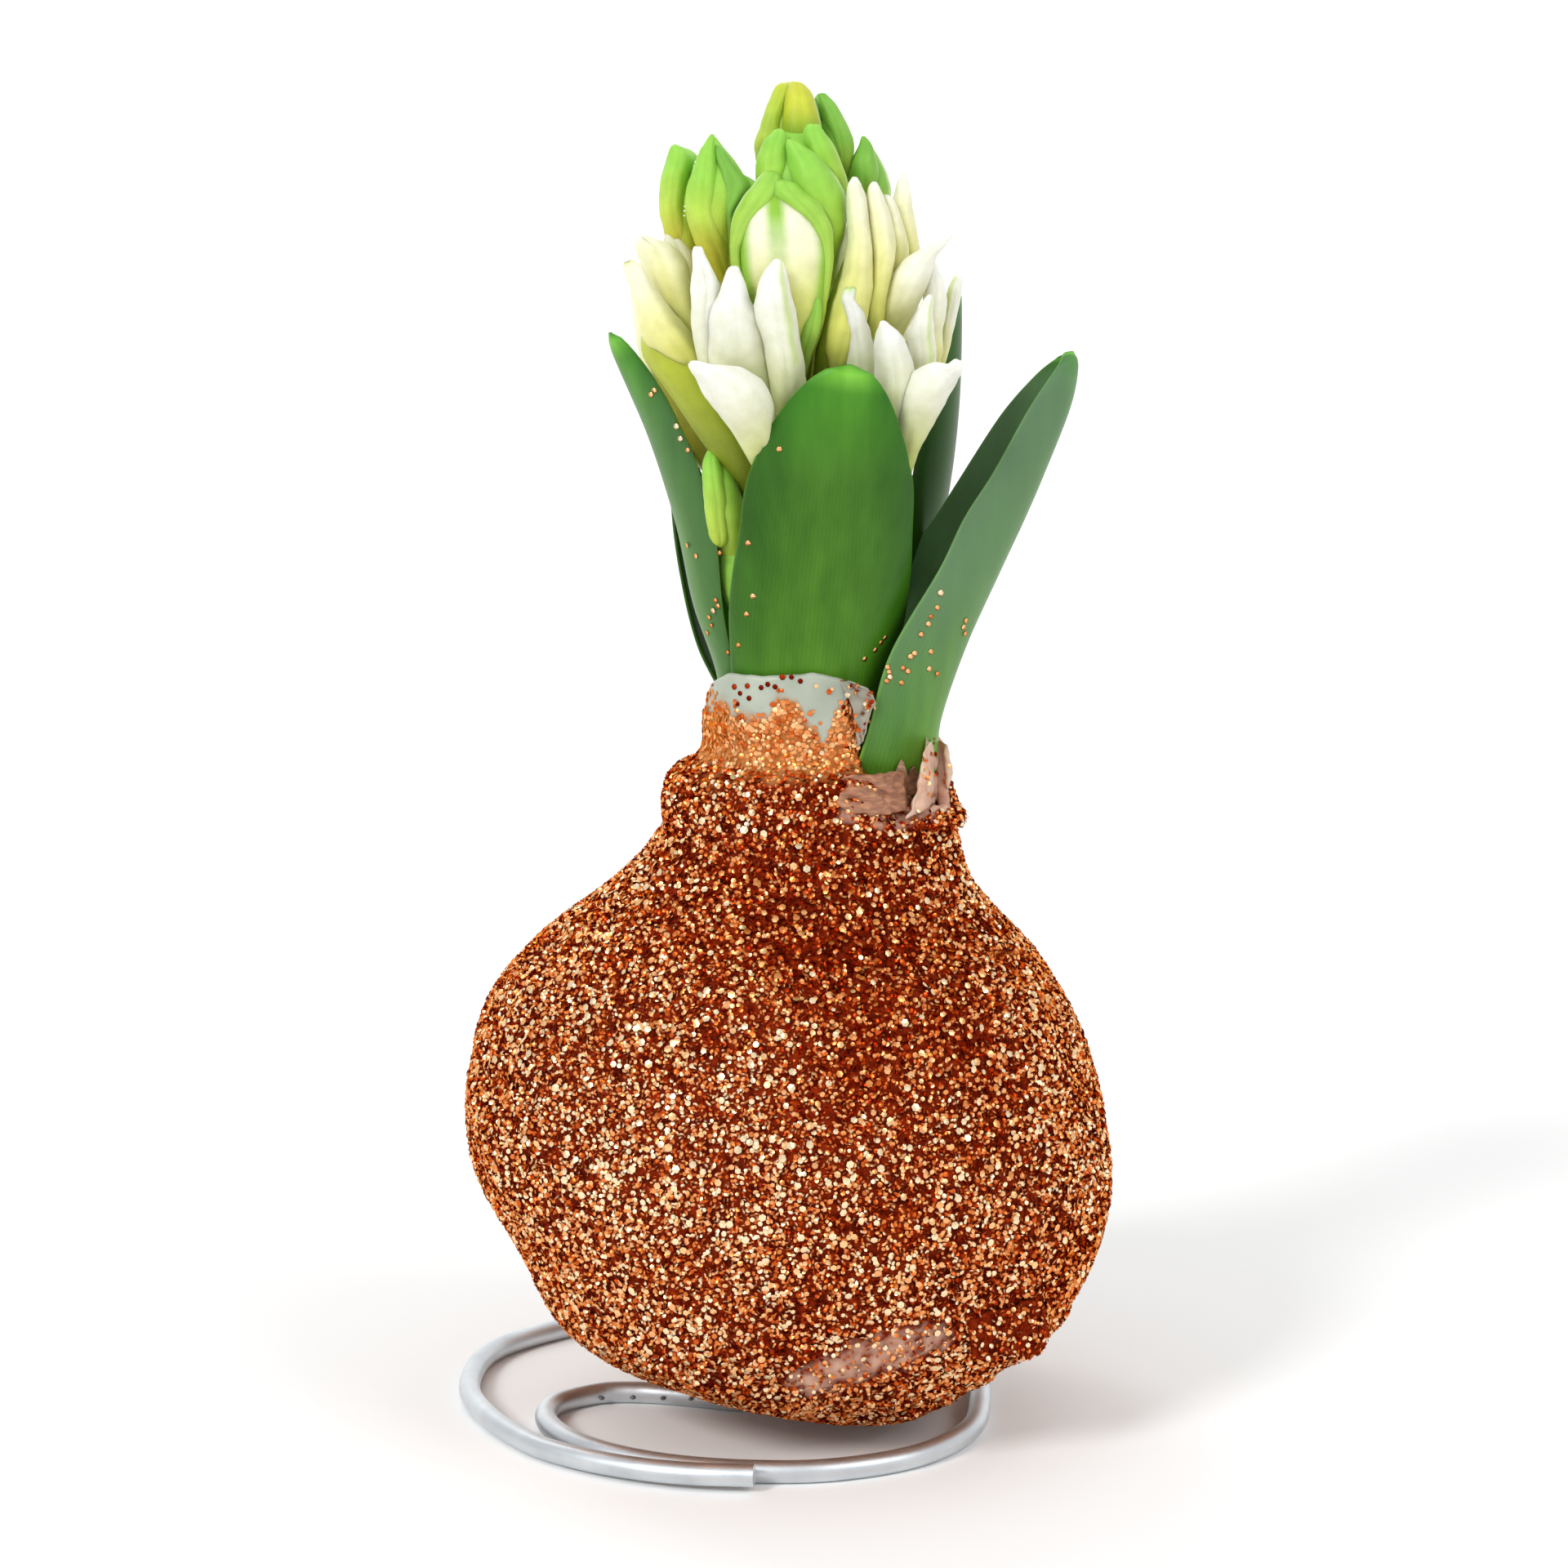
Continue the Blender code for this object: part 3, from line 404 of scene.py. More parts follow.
def path_mesh(name, points):
    mesh = bpy.data.meshes.new(name)
    mesh.from_pydata((np.array(points) + PLANT_AXIS) * MM, [(i, i + 1) for i in range(len(points) - 1)], [])
    return mesh


def aluminium():
    """Drawn aluminium wire, left matt by the die: a fine grain in its bump and roughness, and soft patches of tone."""
    made, tree, sockets = new_material("drawn aluminium", Metallic=1.0)
    fine = grain(tree, 0.35, 4)
    tones = add_node(tree, RAMP, {"Fac": grain(tree, 6.0)}, [(0.3, "#C9CED2"), (0.7, "#DEE2E5")]).outputs[0]
    rough = add_node(tree, RANGE, {"Value": fine, "To Min": 0.34, "To Max": 0.54}).outputs[0]
    lines = add_node(tree, BUMP, {"Height": fine, "Strength": 0.25, "Distance": 0.05 * MM}).outputs[0]
    plug(tree, sockets, Base_Color=tones, Roughness=rough, Normal=lines)
    return made

ALUMINIUM = aluminium()
wire_mesh = grown("bent_wire_stand", path_mesh("wire_path", wire_route()), sweep_tree("wire sweep", ALUMINIUM),
                  Radius=WIRE_RADIUS * MM, Sides=28)
wire_mesh.shade_smooth()
wire_mesh.set_sharp_from_angle(angle=math.radians(50))
link_piece("bent_wire_stand", wire_mesh, "aluminium", ["wire_stand"])


# %% [markdown]
# Four beads of clear wax splashed on the inner run when the bulb was dipped. Each is a low dome
# that is sunk a little into the wire, turned to the reader as in the picture.


# %% Splashed wax beads
SPLASHES = [(737, 1712, 0.34), (775, 1711, 0.38), (812, 1712, 0.36), (846, 1713, 0.30)]


def bead(centre, radius, squash=0.75):
    """A closed round bead."""
    turns = np.radians(np.arange(0, 360, 30))
    rings = [[centre + radius * np.array((math.sin(v) * math.cos(u), math.sin(v) * math.sin(u),
                                          squash * math.cos(v))) for u in turns]
             for v in np.radians((165, 140, 115, 90, 65, 40, 15))]
    return loft(rings, centre - (0, 0, squash * radius), centre + (0, 0, squash * radius))


CLEAR_WAX = mottled("clear wax drop", (0.6,), [(0.3, "#3E4144"), (0.7, "#6E7377")], Roughness=0.08, IOR=1.44,
                    Coat_Weight=0.6)    # a smooth skin with one small highlight; its dark grey is a painted dark reflection in the clear drop
wire_places = np.empty(len(wire_mesh.vertices) * 3)
wire_mesh.vertices.foreach_get("co", wire_places)
wire_places = wire_places.reshape(-1, 3) / MM - PLANT_AXIS
run_places = wire_places[(wire_places[:, 2] < 3) & (wire_places[:, 1] > -12) & (wire_places[:, 0] > -34)]
beads = [bead(seen(a, d, front_depth(run_places, a, d) + 0.05), size) for a, d, size in SPLASHES]
make_piece("wax_splashes_on_wire", beads, CLEAR_WAX, "wax")


# %% [markdown]
# The wax was poured by dipping, so it has no seams: it is a thin skin over the bulb with ripples,
# drips below, a lumpy shoulder and, round the leaves, a collar that was left bare in front. The
# same named rings as the solid's are read at many more heights, and noise adds the ripples.


# %% Wax coat form
BODY_RINGS = [    # centre x, centre y, radius, height
    (8.6, -5.0, 4.5, 3.0), (7.8, -4.2, 9.8, 3.1), (5.6, -2.4, 16.2, 4.9), (4.0, -0.8, 22.7, 7.7),
    (3.1, 0.0, 27.3, 10.6), (2.8, 0.0, 31.0, 14.8), (2.7, 0.0, 33.8, 20.6), (2.1, 0.0, 36.0, 26.4),
    (0.9, 0.0, 37.2, 32.6), (-0.2, 0.0, 37.3, 38.6), (-0.5, 0.0, 36.0, 44.6), (-0.7, 0.0, 33.7, 50.4),
    (-0.5, 0.0, 30.3, 55.4), (0.0, 0.0, 25.8, 59.8), (0.8, 0.0, 21.4, 63.8), (1.7, 0.0, 18.2, 67.6),
    (2.4, 0.0, 16.3, 71.6),
]
WAX_LUMPS = [     # x, y, z, reach, height above the plain form
    (12.0, -11.0, 2.5, 9.0, 1.5), (26.0, -4.0, 7.0, 6.0, 1.6), (-13.0, -5.0, 74.0, 5.0, 0.9),
    (20.0, -3.0, 70.0, 5.5, 1.2), (-34.0, 0.0, 29.5, 8.0, 1.3), (30.0, 12.0, 16.0, 10.0, 1.0),
    (6.0, 35.0, 26.0, 12.0, -1.2), (-18.0, 24.0, 12.0, 9.0, 1.3), (33.0, -8.0, 27.0, 9.0, 0.8),
    (-6.0, -26.0, 8.0, 8.0, 0.8), (-1.0, -16.0, 77.0, 9.0, -1.7), (4.0, 17.0, 75.0, 8.0, -1.2),
    (-6.5, -1.2, 3.0, 5.0, -1.4), (24.0, -8.0, 7.0, 6.5, -1.5), (27.5, 0.0, 7.0, 7.0, -1.7),
    (28.5, -9.0, 13.5, 5.0, 1.0),
]
NECK_AXIS = np.array((1.6, 0.0, 0.0))
COLLAR_BORE, CRATER_BORE, LIP_WALL, CRATER_TAPER = 9.6, 15.0, 1.1, 1.5
OPENING = [       # azimuth, distance from the neck's axis to the opening's wall
    (-180, 9.7), (-56, 9.7), (-45, 11.7), (-34, 15.9), (-23, 17.2), (-11, 16.6), (0, 15.7),
    (11, 15.0), (23, 12.8), (34, 10.4), (45, 9.7), (180, 9.7),
]
LIP = [           # azimuth, height of the wax lip
    (-180, 84.6), (-158, 87.8), (-140, 89.0), (-80, 89.4), (-61, 88.6), (-54, 87.0), (-50.5, 79.0),
    (-47, 75.4), (-38, 73.8), (-16, 73.4), (-9, 75.6), (-2, 80.2), (6, 81.4), (20, 79.0), (38, 78.0), (60, 80.0),
    (90, 82.0), (140, 82.6), (180, 84.6),
]
NECK_LEVELS = [   # share of the way up to the lip, collar radius, collar height
    (0.20, 15.6, 75.0), (0.40, 14.9, 77.4), (0.58, 12.2, 78.8), (0.72, 11.1, 80.8), (0.86, 11.1, 84.0),
    (1.00, 10.9, None),
]
WAX_DRIPS = [     # the same for small drips and curled edges
    (10.5, -17.0, 5.4, 2.2, 0.9), (14.5, -15.6, 4.4, 2.4, 1.1), (19.0, -13.2, 4.6, 2.4, 1.0),
    (6.0, -17.6, 5.8, 2.2, 0.5),
    (23.0, -12.0, 7.6, 2.6, 1.1), (26.6, -9.0, 8.4, 2.4, 1.3), (29.0, -5.0, 9.6, 2.6, 1.1),
    (31.2, -8.0, 14.0, 3.0, 0.7),
    (31.0, -15.0, 20.0, 3.5, 0.8), (27.0, -20.0, 17.0, 3.5, -0.6), (24.0, -14.0, 11.5, 3.0, -0.9),
    (-26.0, -16.0, 12.0, 4.0, 0.5),
    (-12.5, -8.5, 78.0, 2.6, 0.8), (15.0, -11.0, 71.5, 3.0, 0.6), (-15.5, -6.0, 71.5, 3.0, 0.7),
    (2.0, -17.5, 72.0, 4.0, 0.5),
]
WAX_COLUMNS = 240
BODY_LEVELS = 110
NECK_STEPS = 44
WAX_THICKNESS = 2.4
BULB_TOP = 71.5
BULB_SHOULDER = 69.0
GAP = 0.3


def around(table, azimuth):
    azimuths, values = zip(*table)
    return float(np.interp((azimuth + 180) % 360 - 180, azimuths, values))


def ripple(point, size, seed=0.0):
    """Smooth noise from -1 to 1 whose waves are about size millimetres long."""
    return noise.noise(Vector((point[0] / size + seed, point[1] / size, point[2] / size)))


def lump(point):
    """How far the wax stands out at a point of its plain form."""
    x, y, z = point
    raised = 0.28 * math.sin(0.31 * x + 0.17 * z) * math.sin(0.27 * y - 0.21 * z + 1.3)
    for lx, ly, lz, reach, height in WAX_LUMPS + WAX_DRIPS:
        raised += height * math.exp(-2 * (math.dist((x, y, z), (lx, ly, lz)) / reach) ** 2)
    return raised


def neck_column(azimuth):
    """The neck's outside at an azimuth, from the body's top ring to the lip."""
    bore, root = around(OPENING, azimuth), BODY_RINGS[-1][3]
    torn = 1 if -46 < azimuth - 360 * (azimuth > 180) < 70 else 0.15
    lip = around(LIP, azimuth) + 0.9 * torn * ripple(bore * heading(azimuth), 1.5, 6)
    crater = min(max((bore - COLLAR_BORE) / (CRATER_BORE - COLLAR_BORE), 0.0), 1.0)
    rows = []
    for share, collar_radius, collar_height in NECK_LEVELS:
        collar_height = lip if collar_height is None else collar_height
        radius = collar_radius + crater * (bore + LIP_WALL + (1 - share) * CRATER_TAPER - collar_radius)
        height = collar_height + crater * (root + share * (lip - root) - collar_height)
        rows.append(NECK_AXIS + radius * heading(azimuth) + (0, 0, min(height, lip)))
    return rows


def wax_rings():
    """Rings of the coat from its underside up, over the lip and down inside to the bulb's foot."""
    azimuths = np.arange(WAX_COLUMNS) * 360 / WAX_COLUMNS
    body = [[np.array((x, y, z)) + radius * heading(a) for a in azimuths]
            for x, y, radius, z in through(BODY_RINGS, BODY_LEVELS)]
    necks = np.array([through([body[-3][i], body[-1][i], *neck_column(a)], NECK_STEPS)
                      for i, a in enumerate(azimuths)])
    outside = np.array(body[:-3] + list(necks.transpose(1, 0, 2)))
    lifted = []
    for ring in outside:
        centre = ring.mean(axis=0)
        away = unit(ring - centre)
        lifted.append([p + d * (lump(p) + 0.35 * ripple(p, 9.0) + 0.16 * ripple(p, 3.0))
                       for p, d in zip(ring, away)])
    lip = np.array(lifted[-1])
    bores = np.array([around(OPENING, a) for a in azimuths])[:, None]
    headings = np.array([heading(a) for a in azimuths])
    inner_lip = NECK_AXIS + bores * headings + lip * (0, 0, 1)
    over = [(lip + inner_lip) / 2 + (lip - inner_lip) / 2 * math.cos(t) + np.array((0, 0, 0.5 * math.sin(t)))
            for t in np.linspace(0, math.pi, 7)[1:]]
    inside = [inner_lip * (1, 1, 0) + inner_lip * (0, 0, 1) * (1 - s) + np.array((0, 0, BULB_TOP)) * s
              for s in (0.15, 0.4, 0.7, 1.0)]
    cavity = [[np.array((x, y, z + 2.6 * max(1 - z / 12, 0) - GAP * (z < 12)))
               + (radius - WAX_THICKNESS + GAP) * heading(a) for a in azimuths]
              for x, y, radius, z in through(BODY_RINGS[1:-1], 24)[::-1]]
    shoulder = [NECK_AXIS + bores * headings + np.array((0, 0, BULB_SHOULDER))]
    return np.array(lifted), np.array(over + inside + shoulder + cavity)


outside, inside = wax_rings()
print("wax rings:", len(outside), "outside,", len(inside), "over the lip and inside")


# %% [markdown]
# Glitter covers the coat, except on the bare collar, on a few worn spots below and inside. Where it
# lies and how bright it is are two fields on the wax, so the wax and the flakes read the same map.
# The brightness holds painted light: a painted glint on the front left of the body and painted dark
# reflections at a few spots on the front.


# %% Where the glitter lies
COLLAR_EDGE = [   # x, height of the glitter's upper edge on the front of the collar
    (-11, 87.0), (-9.0, 88.4), (-7.2, 87.6), (-6.0, 85.6), (-1.6, 85.2), (-0.9, 88.3), (1.4, 87.8), (2.4, 84.8),
    (4.0, 83.4), (4.7, 81.8), (5.2, 84.2), (6.2, 87.0), (9.5, 87.2), (12, 84.0),
]
BARE_SPOTS = [    # picture place and reach: pinkish wax shows between the flakes
    (985, 1694, 19), (1012, 1682, 22), (1042, 1670, 24), (1075, 1658, 25), (1110, 1648, 25), (1142, 1638, 20),
    (1040, 998, 12), (1075, 1003, 12), (1105, 1003, 13), (1136, 990, 16), (1152, 952, 18), (872, 862, 12),
]
# painted glint: the glitter is made brighter round this point; painted dark reflections make it darker round the points
# below
PAINTED_GLINT_SPOT = (-17.0, -32.0, 40.0)
PAINTED_DARK_REFLECTIONS = [(4.0, -22.0, 61.0, 16.0, 0.34), (31.0, -20.0, 22.0, 8.0, 0.12), (14.0, -30.0, 49.0, 9.0, 0.14)]


def smooth_share(value, low, high):
    t = min(max((value - low) / (high - low), 0.0), 1.0)
    return t * t * (3 - 2 * t)


def glitter_cover(point):
    x, y, z = point
    cover = 1.0
    if z > 74:
        xs, edges = zip(*COLLAR_EDGE)
        front = smooth_share(-y, -2.0, 3.0)
        edge = front * float(np.interp(x, xs, edges)) + (1 - front) * 86.0
        edge += 1.0 * ripple(point, 1.6) + 0.5 * ripple(point, 0.7, 5)
        cover = 1 - smooth_share(z, edge - 1.6, edge + 0.6)
        cover = max(cover, 0.04 * (z < edge + 3.5) + 0.10 * (ripple(point, 1.1, 8) > 0.45) * (z > edge))
    place = in_picture(point)
    for across, down, reach in BARE_SPOTS if y < 0 else []:
        near = math.dist(place, (across, down)) / reach + 0.8 * ripple(point, 1.3)
        cover *= 0.38 + 0.62 * smooth_share(near, 0.2, 1.5)
    return cover


def glitter_tone_and_painted_light(point):
    """0 where the glitter is dark red-brown, 1 where it is gold: a random tone with a painted glint and
    painted dark reflections.
    """
    tone = 0.61 + 0.17 * math.exp(-(math.dist(point, PAINTED_GLINT_SPOT) / 26) ** 2) + 0.16 * ripple(point, 9.0)
    tone += 0.08 * ripple(point, 2.4, 4)
    for x, y, z, reach, share in PAINTED_DARK_REFLECTIONS:
        tone -= share * math.exp(-(math.dist(point, (x, y, z)) / reach) ** 2)
    if point[1] < 2:
        tone += (0.62 - tone) * smooth_share(point[2], 77, 80)
    return tone


def collar_share(point):
    """1 on the collar round the leaves, 0 on the body, with a ragged line between them."""
    return smooth_share(point[2] + 1.6 * ripple(point, 2.5, 3), 77.4, 79.4)


def milkiness(point):
    """1 where the bare wax is milky; it is pinkish brown round the crater and low on the body."""
    azimuth = math.degrees(math.atan2(point[1], point[0] - NECK_AXIS[0]))
    return smooth_share(point[2], 74, 79) * (1 if azimuth < -52 or azimuth > 95 else 0.12)


def wax_field(read, hidden_value):
    """A field read on the outside; the inside and the poles get one value, but the lip keeps its own."""
    values = [read(p) for ring in outside for p in ring]
    values += values[-WAX_COLUMNS:] * 6 if hidden_value is None else [hidden_value] * (6 * WAX_COLUMNS)
    rest = (len(inside) - 6) * WAX_COLUMNS + 2
    return np.array(values + [hidden_value or 0.0] * rest)


covers = wax_field(glitter_cover, 0.0)
tones = wax_field(glitter_tone_and_painted_light, 0.5)
collars = wax_field(collar_share, None)
milks = wax_field(milkiness, None)
print("covered share of the outside:", round(float(np.mean(covers[:outside.shape[0] * WAX_COLUMNS])), 3))


# %% [markdown]
# Bulb wax is a soft paraffin: milky, a little see-through and greyish where it is thin over the
# leaves. Where the flakes lie it is dark red-brown, partly dye from the glitter and partly painted
# shade between the flakes, and its gloss is turned down there for the same shade. It is pinkish
# where the flakes wore off.


# %% Wax material and piece
def dipped_wax():
    made, tree, sockets = new_material("dipped paraffin wax", IOR=1.44, Subsurface_Weight=0.3,
                                       Subsurface_Radius=(1.0, 0.6, 0.45), Subsurface_Scale=0.0012)
    cover, collar, milk = (add_node(tree, FIELD, attribute_name=field).outputs["Fac"]
                           for field in ("cover", "collar", "milk"))
    # the dark red-brown under the flakes is partly dye stain and partly painted shade between them
    milky, pink, stained_and_shaded, peach = (
        add_node(tree, RAMP, {"Fac": grain(tree, size)}, [(low, dark), (0.7, pale)]).outputs[0]
        for size, low, dark, pale in ((5.0, 0.3, "#9AA191", "#B2B8A9"), (2.0, 0.3, "#C08A70", "#E6BEA6"),
                                      (1.2, 0.35, "#4A0C02", "#8C280A"), (1.6, 0.35, "#A65E28", "#BF8350")))
    bare, under = (add_node(tree, MIX, {0: where, 6: one, 7: two}, data_type="RGBA").outputs[2]
                   for where, one, two in ((milk, pink, milky), (collar, stained_and_shaded, peach)))
    share = add_node(tree, RANGE, {"Value": cover, "From Min": 0.15, "From Max": 0.9}).outputs[0]
    colour = add_node(tree, MIX, {0: share, 6: bare, 7: under}, data_type="RGBA").outputs[2]
    dull = add_node(tree, RANGE, {"Value": share, "To Min": 0.32, "To Max": 0.75}).outputs[0]
    # under the flakes the gloss is turned down, as painted shade
    gloss = add_node(tree, RANGE, {"Value": share, "To Min": 0.4, "To Max": 0.03}).outputs[0]
    pitted = add_node(tree, BUMP, {"Height": grain(tree, 0.8), "Strength": 0.35, "Distance": 0.12 * MM}).outputs[0]
    plug(tree, sockets, Base_Color=colour, Roughness=dull, Specular_IOR_Level=gloss, Normal=pitted)
    return made

WAX = dipped_wax()
foot = BODY_RINGS[0]
wax_body = loft(np.concatenate([outside, inside]), np.array((foot[0], foot[1], foot[3] - 0.1)),
                inside[-1].mean(axis=0))
wax = make_piece("dipped_wax_coat", [wax_body], WAX, "wax", ["wax_coat"],
                 cover=[covers], tone=[tones], collar=[collars], milk=[milks])


# %% [markdown]
# The glitter is cut film: flat six-sided flakes about 0.6 mm across, stuck down at every angle. Each
# is a flat closed hexagon of 12 triangles, a little thicker in its middle. A Poisson scatter keeps
# them from piling up, and the cover field thins them out. On the collar they lie flatter,
# so it gets a scatter of its own, and so do a few larger flakes whose shade is raised towards cream
# as painted glints. A flake's shade is drawn once and kept as an attribute on it; the dark red and
# cream ends of its range stand partly for painted reflections of dark surroundings and of the lamps.


# %% Glitter flakes
FLAKE_THICKNESS = 0.08
FLAKE_POINTS, FLAKE_TRIANGLES = 8, 12
MOST_TRIANGLES = 190000    # in one piece
FLAKE_GRADES = {           # radius, spacing, tilt in radians either way, share of the collar field
    "body": dict(Radius=0.29 * MM, Spacing=0.31 * MM, Tilt=0.95, Collar_Side=1.0, Lift=0.14 * MM, Spread=0.95,
                 Density=9e6),
    "collar": dict(Radius=0.32 * MM, Spacing=0.40 * MM, Tilt=0.3, Collar_Side=0.0, Lift=0.08 * MM, Spread=0.6,
                   Density=9e6),
    # painted glints: larger flakes whose shade is raised towards cream
    "painted_glint": dict(Radius=0.40 * MM, Spacing=0.5 * MM, Tilt=0.3, Collar_Side=0.9, Lift=0.32 * MM, Spread=0.6,
                    Density=2.4e5, Brighten=0.40),
}


def glitter_tree(material):
    tree, given, result = node_tree("glitter scatter", Radius=0.0004, Spacing=0.0006, Thickness=0.00006,
                                    Tilt=0.4, Lift=0.0001, Density=4e6, Collar_Side=1.0, Spread=0.9,
                                    Brighten=0.0, Seed=7)
    # tone holds the glitter's random tone with its painted glint and painted dark reflections
    cover, tone, collar = (
        add_node(tree, "GeometryNodeInputNamedAttribute", {"Name": field}, data_type="FLOAT").outputs[0]
        for field in ("cover", "tone", "collar"))
    side = add_node(tree, MATHS, {0: collar, 1: given["Collar Side"]}, operation="SUBTRACT").outputs[0]
    side = add_node(tree, MATHS, {0: side}, operation="ABSOLUTE").outputs[0]
    share = add_node(tree, MATHS, {0: side, 1: cover}, operation="MULTIPLY").outputs[0]
    points = add_node(tree, "GeometryNodeDistributePointsOnFaces", {
        "Mesh": given["Geometry"], "Distance Min": given["Spacing"], "Density Max": given["Density"],
        "Density Factor": share, "Seed": given["Seed"]}, distribute_method="POISSON")
    draw = add_node(tree, "FunctionNodeRandomValue", {2: 0.0, 3: 1.0, 8: 11}, data_type="FLOAT").outputs[1]
    draw = add_node(tree, MATHS, {0: draw, 1: 0.5}, operation="SUBTRACT").outputs[0]
    shade = add_node(tree, MATHS, {0: draw, 1: given["Spread"], 2: tone}, operation="MULTIPLY_ADD").outputs[0]
    # painted glint: for the larger flakes the shade is raised towards cream
    shade = add_node(tree, MATHS, {0: shade, 1: given["Brighten"]}, use_clamp=True).outputs[0]
    lift = add_node(tree, "ShaderNodeVectorMath", {0: points.outputs["Normal"], "Scale": given["Lift"]},
                    operation="SCALE").outputs[0]
    raised = add_node(tree, "GeometryNodeSetPosition",
                      {"Geometry": points.outputs["Points"], "Offset": lift}).outputs[0]
    shaded = add_node(tree, "GeometryNodeStoreNamedAttribute", {
        "Geometry": raised, "Name": "shade", "Value": shade}, data_type="FLOAT").outputs[0]
    lean = add_node(tree, MATHS, {0: given["Tilt"], 1: -1.0}, operation="MULTIPLY").outputs[0]
    low = add_node(tree, "ShaderNodeCombineXYZ", {0: lean, 1: lean, 2: 0.0}).outputs[0]
    high = add_node(tree, "ShaderNodeCombineXYZ", {0: given["Tilt"], 1: given["Tilt"], 2: 6.283}).outputs[0]
    turn = add_node(tree, "FunctionNodeRandomValue", {0: low, 1: high, 8: 3}, data_type="FLOAT_VECTOR").outputs[0]
    turned = add_node(tree, "FunctionNodeRotateRotation", {
        0: points.outputs["Rotation"], 1: add_node(tree, "FunctionNodeEulerToRotation", {0: turn}).outputs[0]},
        rotation_space="LOCAL").outputs[0]
    size = add_node(tree, "FunctionNodeRandomValue", {2: 0.68, 3: 1.2, 8: 5}, data_type="FLOAT").outputs[1]
    half = add_node(tree, MATHS, {0: given["Thickness"], 1: 0.5}, operation="MULTIPLY").outputs[0]
    cone = add_node(tree, "GeometryNodeMeshCone", {"Vertices": 6, "Radius Top": 0.0, "Radius Bottom": given["Radius"],
                                                   "Depth": half}, fill_type="NONE").outputs[0]
    below = add_node(tree, "GeometryNodeTransform", {"Geometry": cone, "Scale": (1, -1, -1)}).outputs[0]
    both = add_node(tree, "GeometryNodeJoinGeometry", {"Geometry": cone})
    tree.links.new(below, both.inputs["Geometry"])
    flake = add_node(tree, "GeometryNodeMergeByDistance", {"Geometry": both.outputs[0], "Distance": 1e-6}).outputs[0]
    placed = add_node(tree, "GeometryNodeInstanceOnPoints", {
        "Points": shaded, "Instance": flake, "Rotation": turned, "Scale": size}).outputs[0]
    end_tree(tree, placed, material, result)
    return tree


# the flakes' own copper colours; the dark red and cream ends are partly painted reflections of dark surroundings and of
# the lamps
GLITTER_COLOURS_AND_PAINTED_REFLECTIONS = [(0.0, "#761603"), (0.12, "#A2330E"), (0.25, "#CC5E26"), (0.40, "#DF7F42"), (0.56, "#EE9B5C"),
                  (0.71, "#FAB47A"), (0.85, "#FFC88E"), (0.96, "#FFE3B8")]


def glitter_film():
    """Metallised film with a tinted lacquer: a mirror that stays copper even at a glance."""
    made, tree, sockets = new_material("copper glitter film", Metallic=1.0, Roughness=0.3,
                                       Specular_Tint=linear("#F2A56A"))
    shade = add_node(tree, FIELD, attribute_name="shade").outputs["Fac"]
    shades = add_node(tree, RAMP, {"Fac": shade}, GLITTER_COLOURS_AND_PAINTED_REFLECTIONS)
    shades.color_ramp.interpolation = "CONSTANT"
    plug(tree, sockets, Base_Color=shades.outputs[0])
    return made


def split_flakes(mesh, first):
    """Pieces of whole flakes, none with too many triangles, taken in order of height."""
    count = len(mesh.vertices) // FLAKE_POINTS
    places = np.empty(len(mesh.vertices) * 3, np.float32)
    mesh.vertices.foreach_get("co", places)
    places = places.reshape(count, FLAKE_POINTS, 3)
    shades = np.empty(len(mesh.vertices), np.float32)
    mesh.attributes["shade"].data.foreach_get("value", shades)
    faces = [list(p.vertices) for p in mesh.polygons[:len(mesh.polygons) // count]]
    order = np.argsort(places[:, 0, 2])
    parts = np.array_split(order, math.ceil(count * FLAKE_TRIANGLES / MOST_TRIANGLES))
    for k, part in enumerate(parts):
        cut = bpy.data.meshes.new(f"glitter_{first + k}")
        cut.from_pydata(places[part].reshape(-1, 3).tolist(), [],
                        [[FLAKE_POINTS * i + v for v in face] for i in range(len(part)) for face in faces])
        kept = cut.attributes.new("shade", "FLOAT", "POINT")
        kept.data.foreach_set("value", shades.reshape(count, FLAKE_POINTS)[part].ravel())
        cut.materials.append(GLITTER)
        link_piece(f"glitter_{first + k}", cut, "wax")
    return len(parts)


GLITTER = glitter_film()
scatter = glitter_tree(GLITTER)
pieces = 1
for grade, sizes in FLAKE_GRADES.items():
    flakes = grown("flakes_" + grade, wax.data.copy(), scatter, Thickness=FLAKE_THICKNESS * MM, Seed=7,
                   **sizes)
    print(grade, "flakes:", len(flakes.vertices) // FLAKE_POINTS)
    pieces += split_flakes(flakes, pieces)


# %% [markdown]
# The bulb itself is nearly all hidden. Its solid has the right shape, so it only gets the look of
# fleshy pale scales. Where it breaks through the wax, the torn outer scale lines the crater.


# %% Bulb scales and papery tunic
def papery_tunic():
    """A dead outer scale: thin, dry, brown-pink, with fine darker fibres and paler edges."""
    made, tree, sockets = new_material("dry bulb tunic", Roughness=0.62, Subsurface_Weight=0.2,
                                       Subsurface_Scale=0.0008)
    fibres = grain(tree, 1.3, 5, (1, 1, 3))
    brown = add_node(tree, RAMP, {"Fac": fibres}, [(0.3, "#6E3822"), (0.5, "#9A583A"), (0.75, "#C48862")]).outputs[0]
    pale = add_node(tree, FIELD, attribute_name="along").outputs["Fac"]
    colour = add_node(tree, MIX, {0: pale, 6: brown, 7: linear("#D6C8A6")}, data_type="RGBA").outputs[2]
    creases = add_node(tree, BUMP, {"Height": fibres, "Strength": 0.9, "Distance": 0.3 * MM}).outputs[0]
    plug(tree, sockets, Base_Color=colour, Normal=creases)
    return made

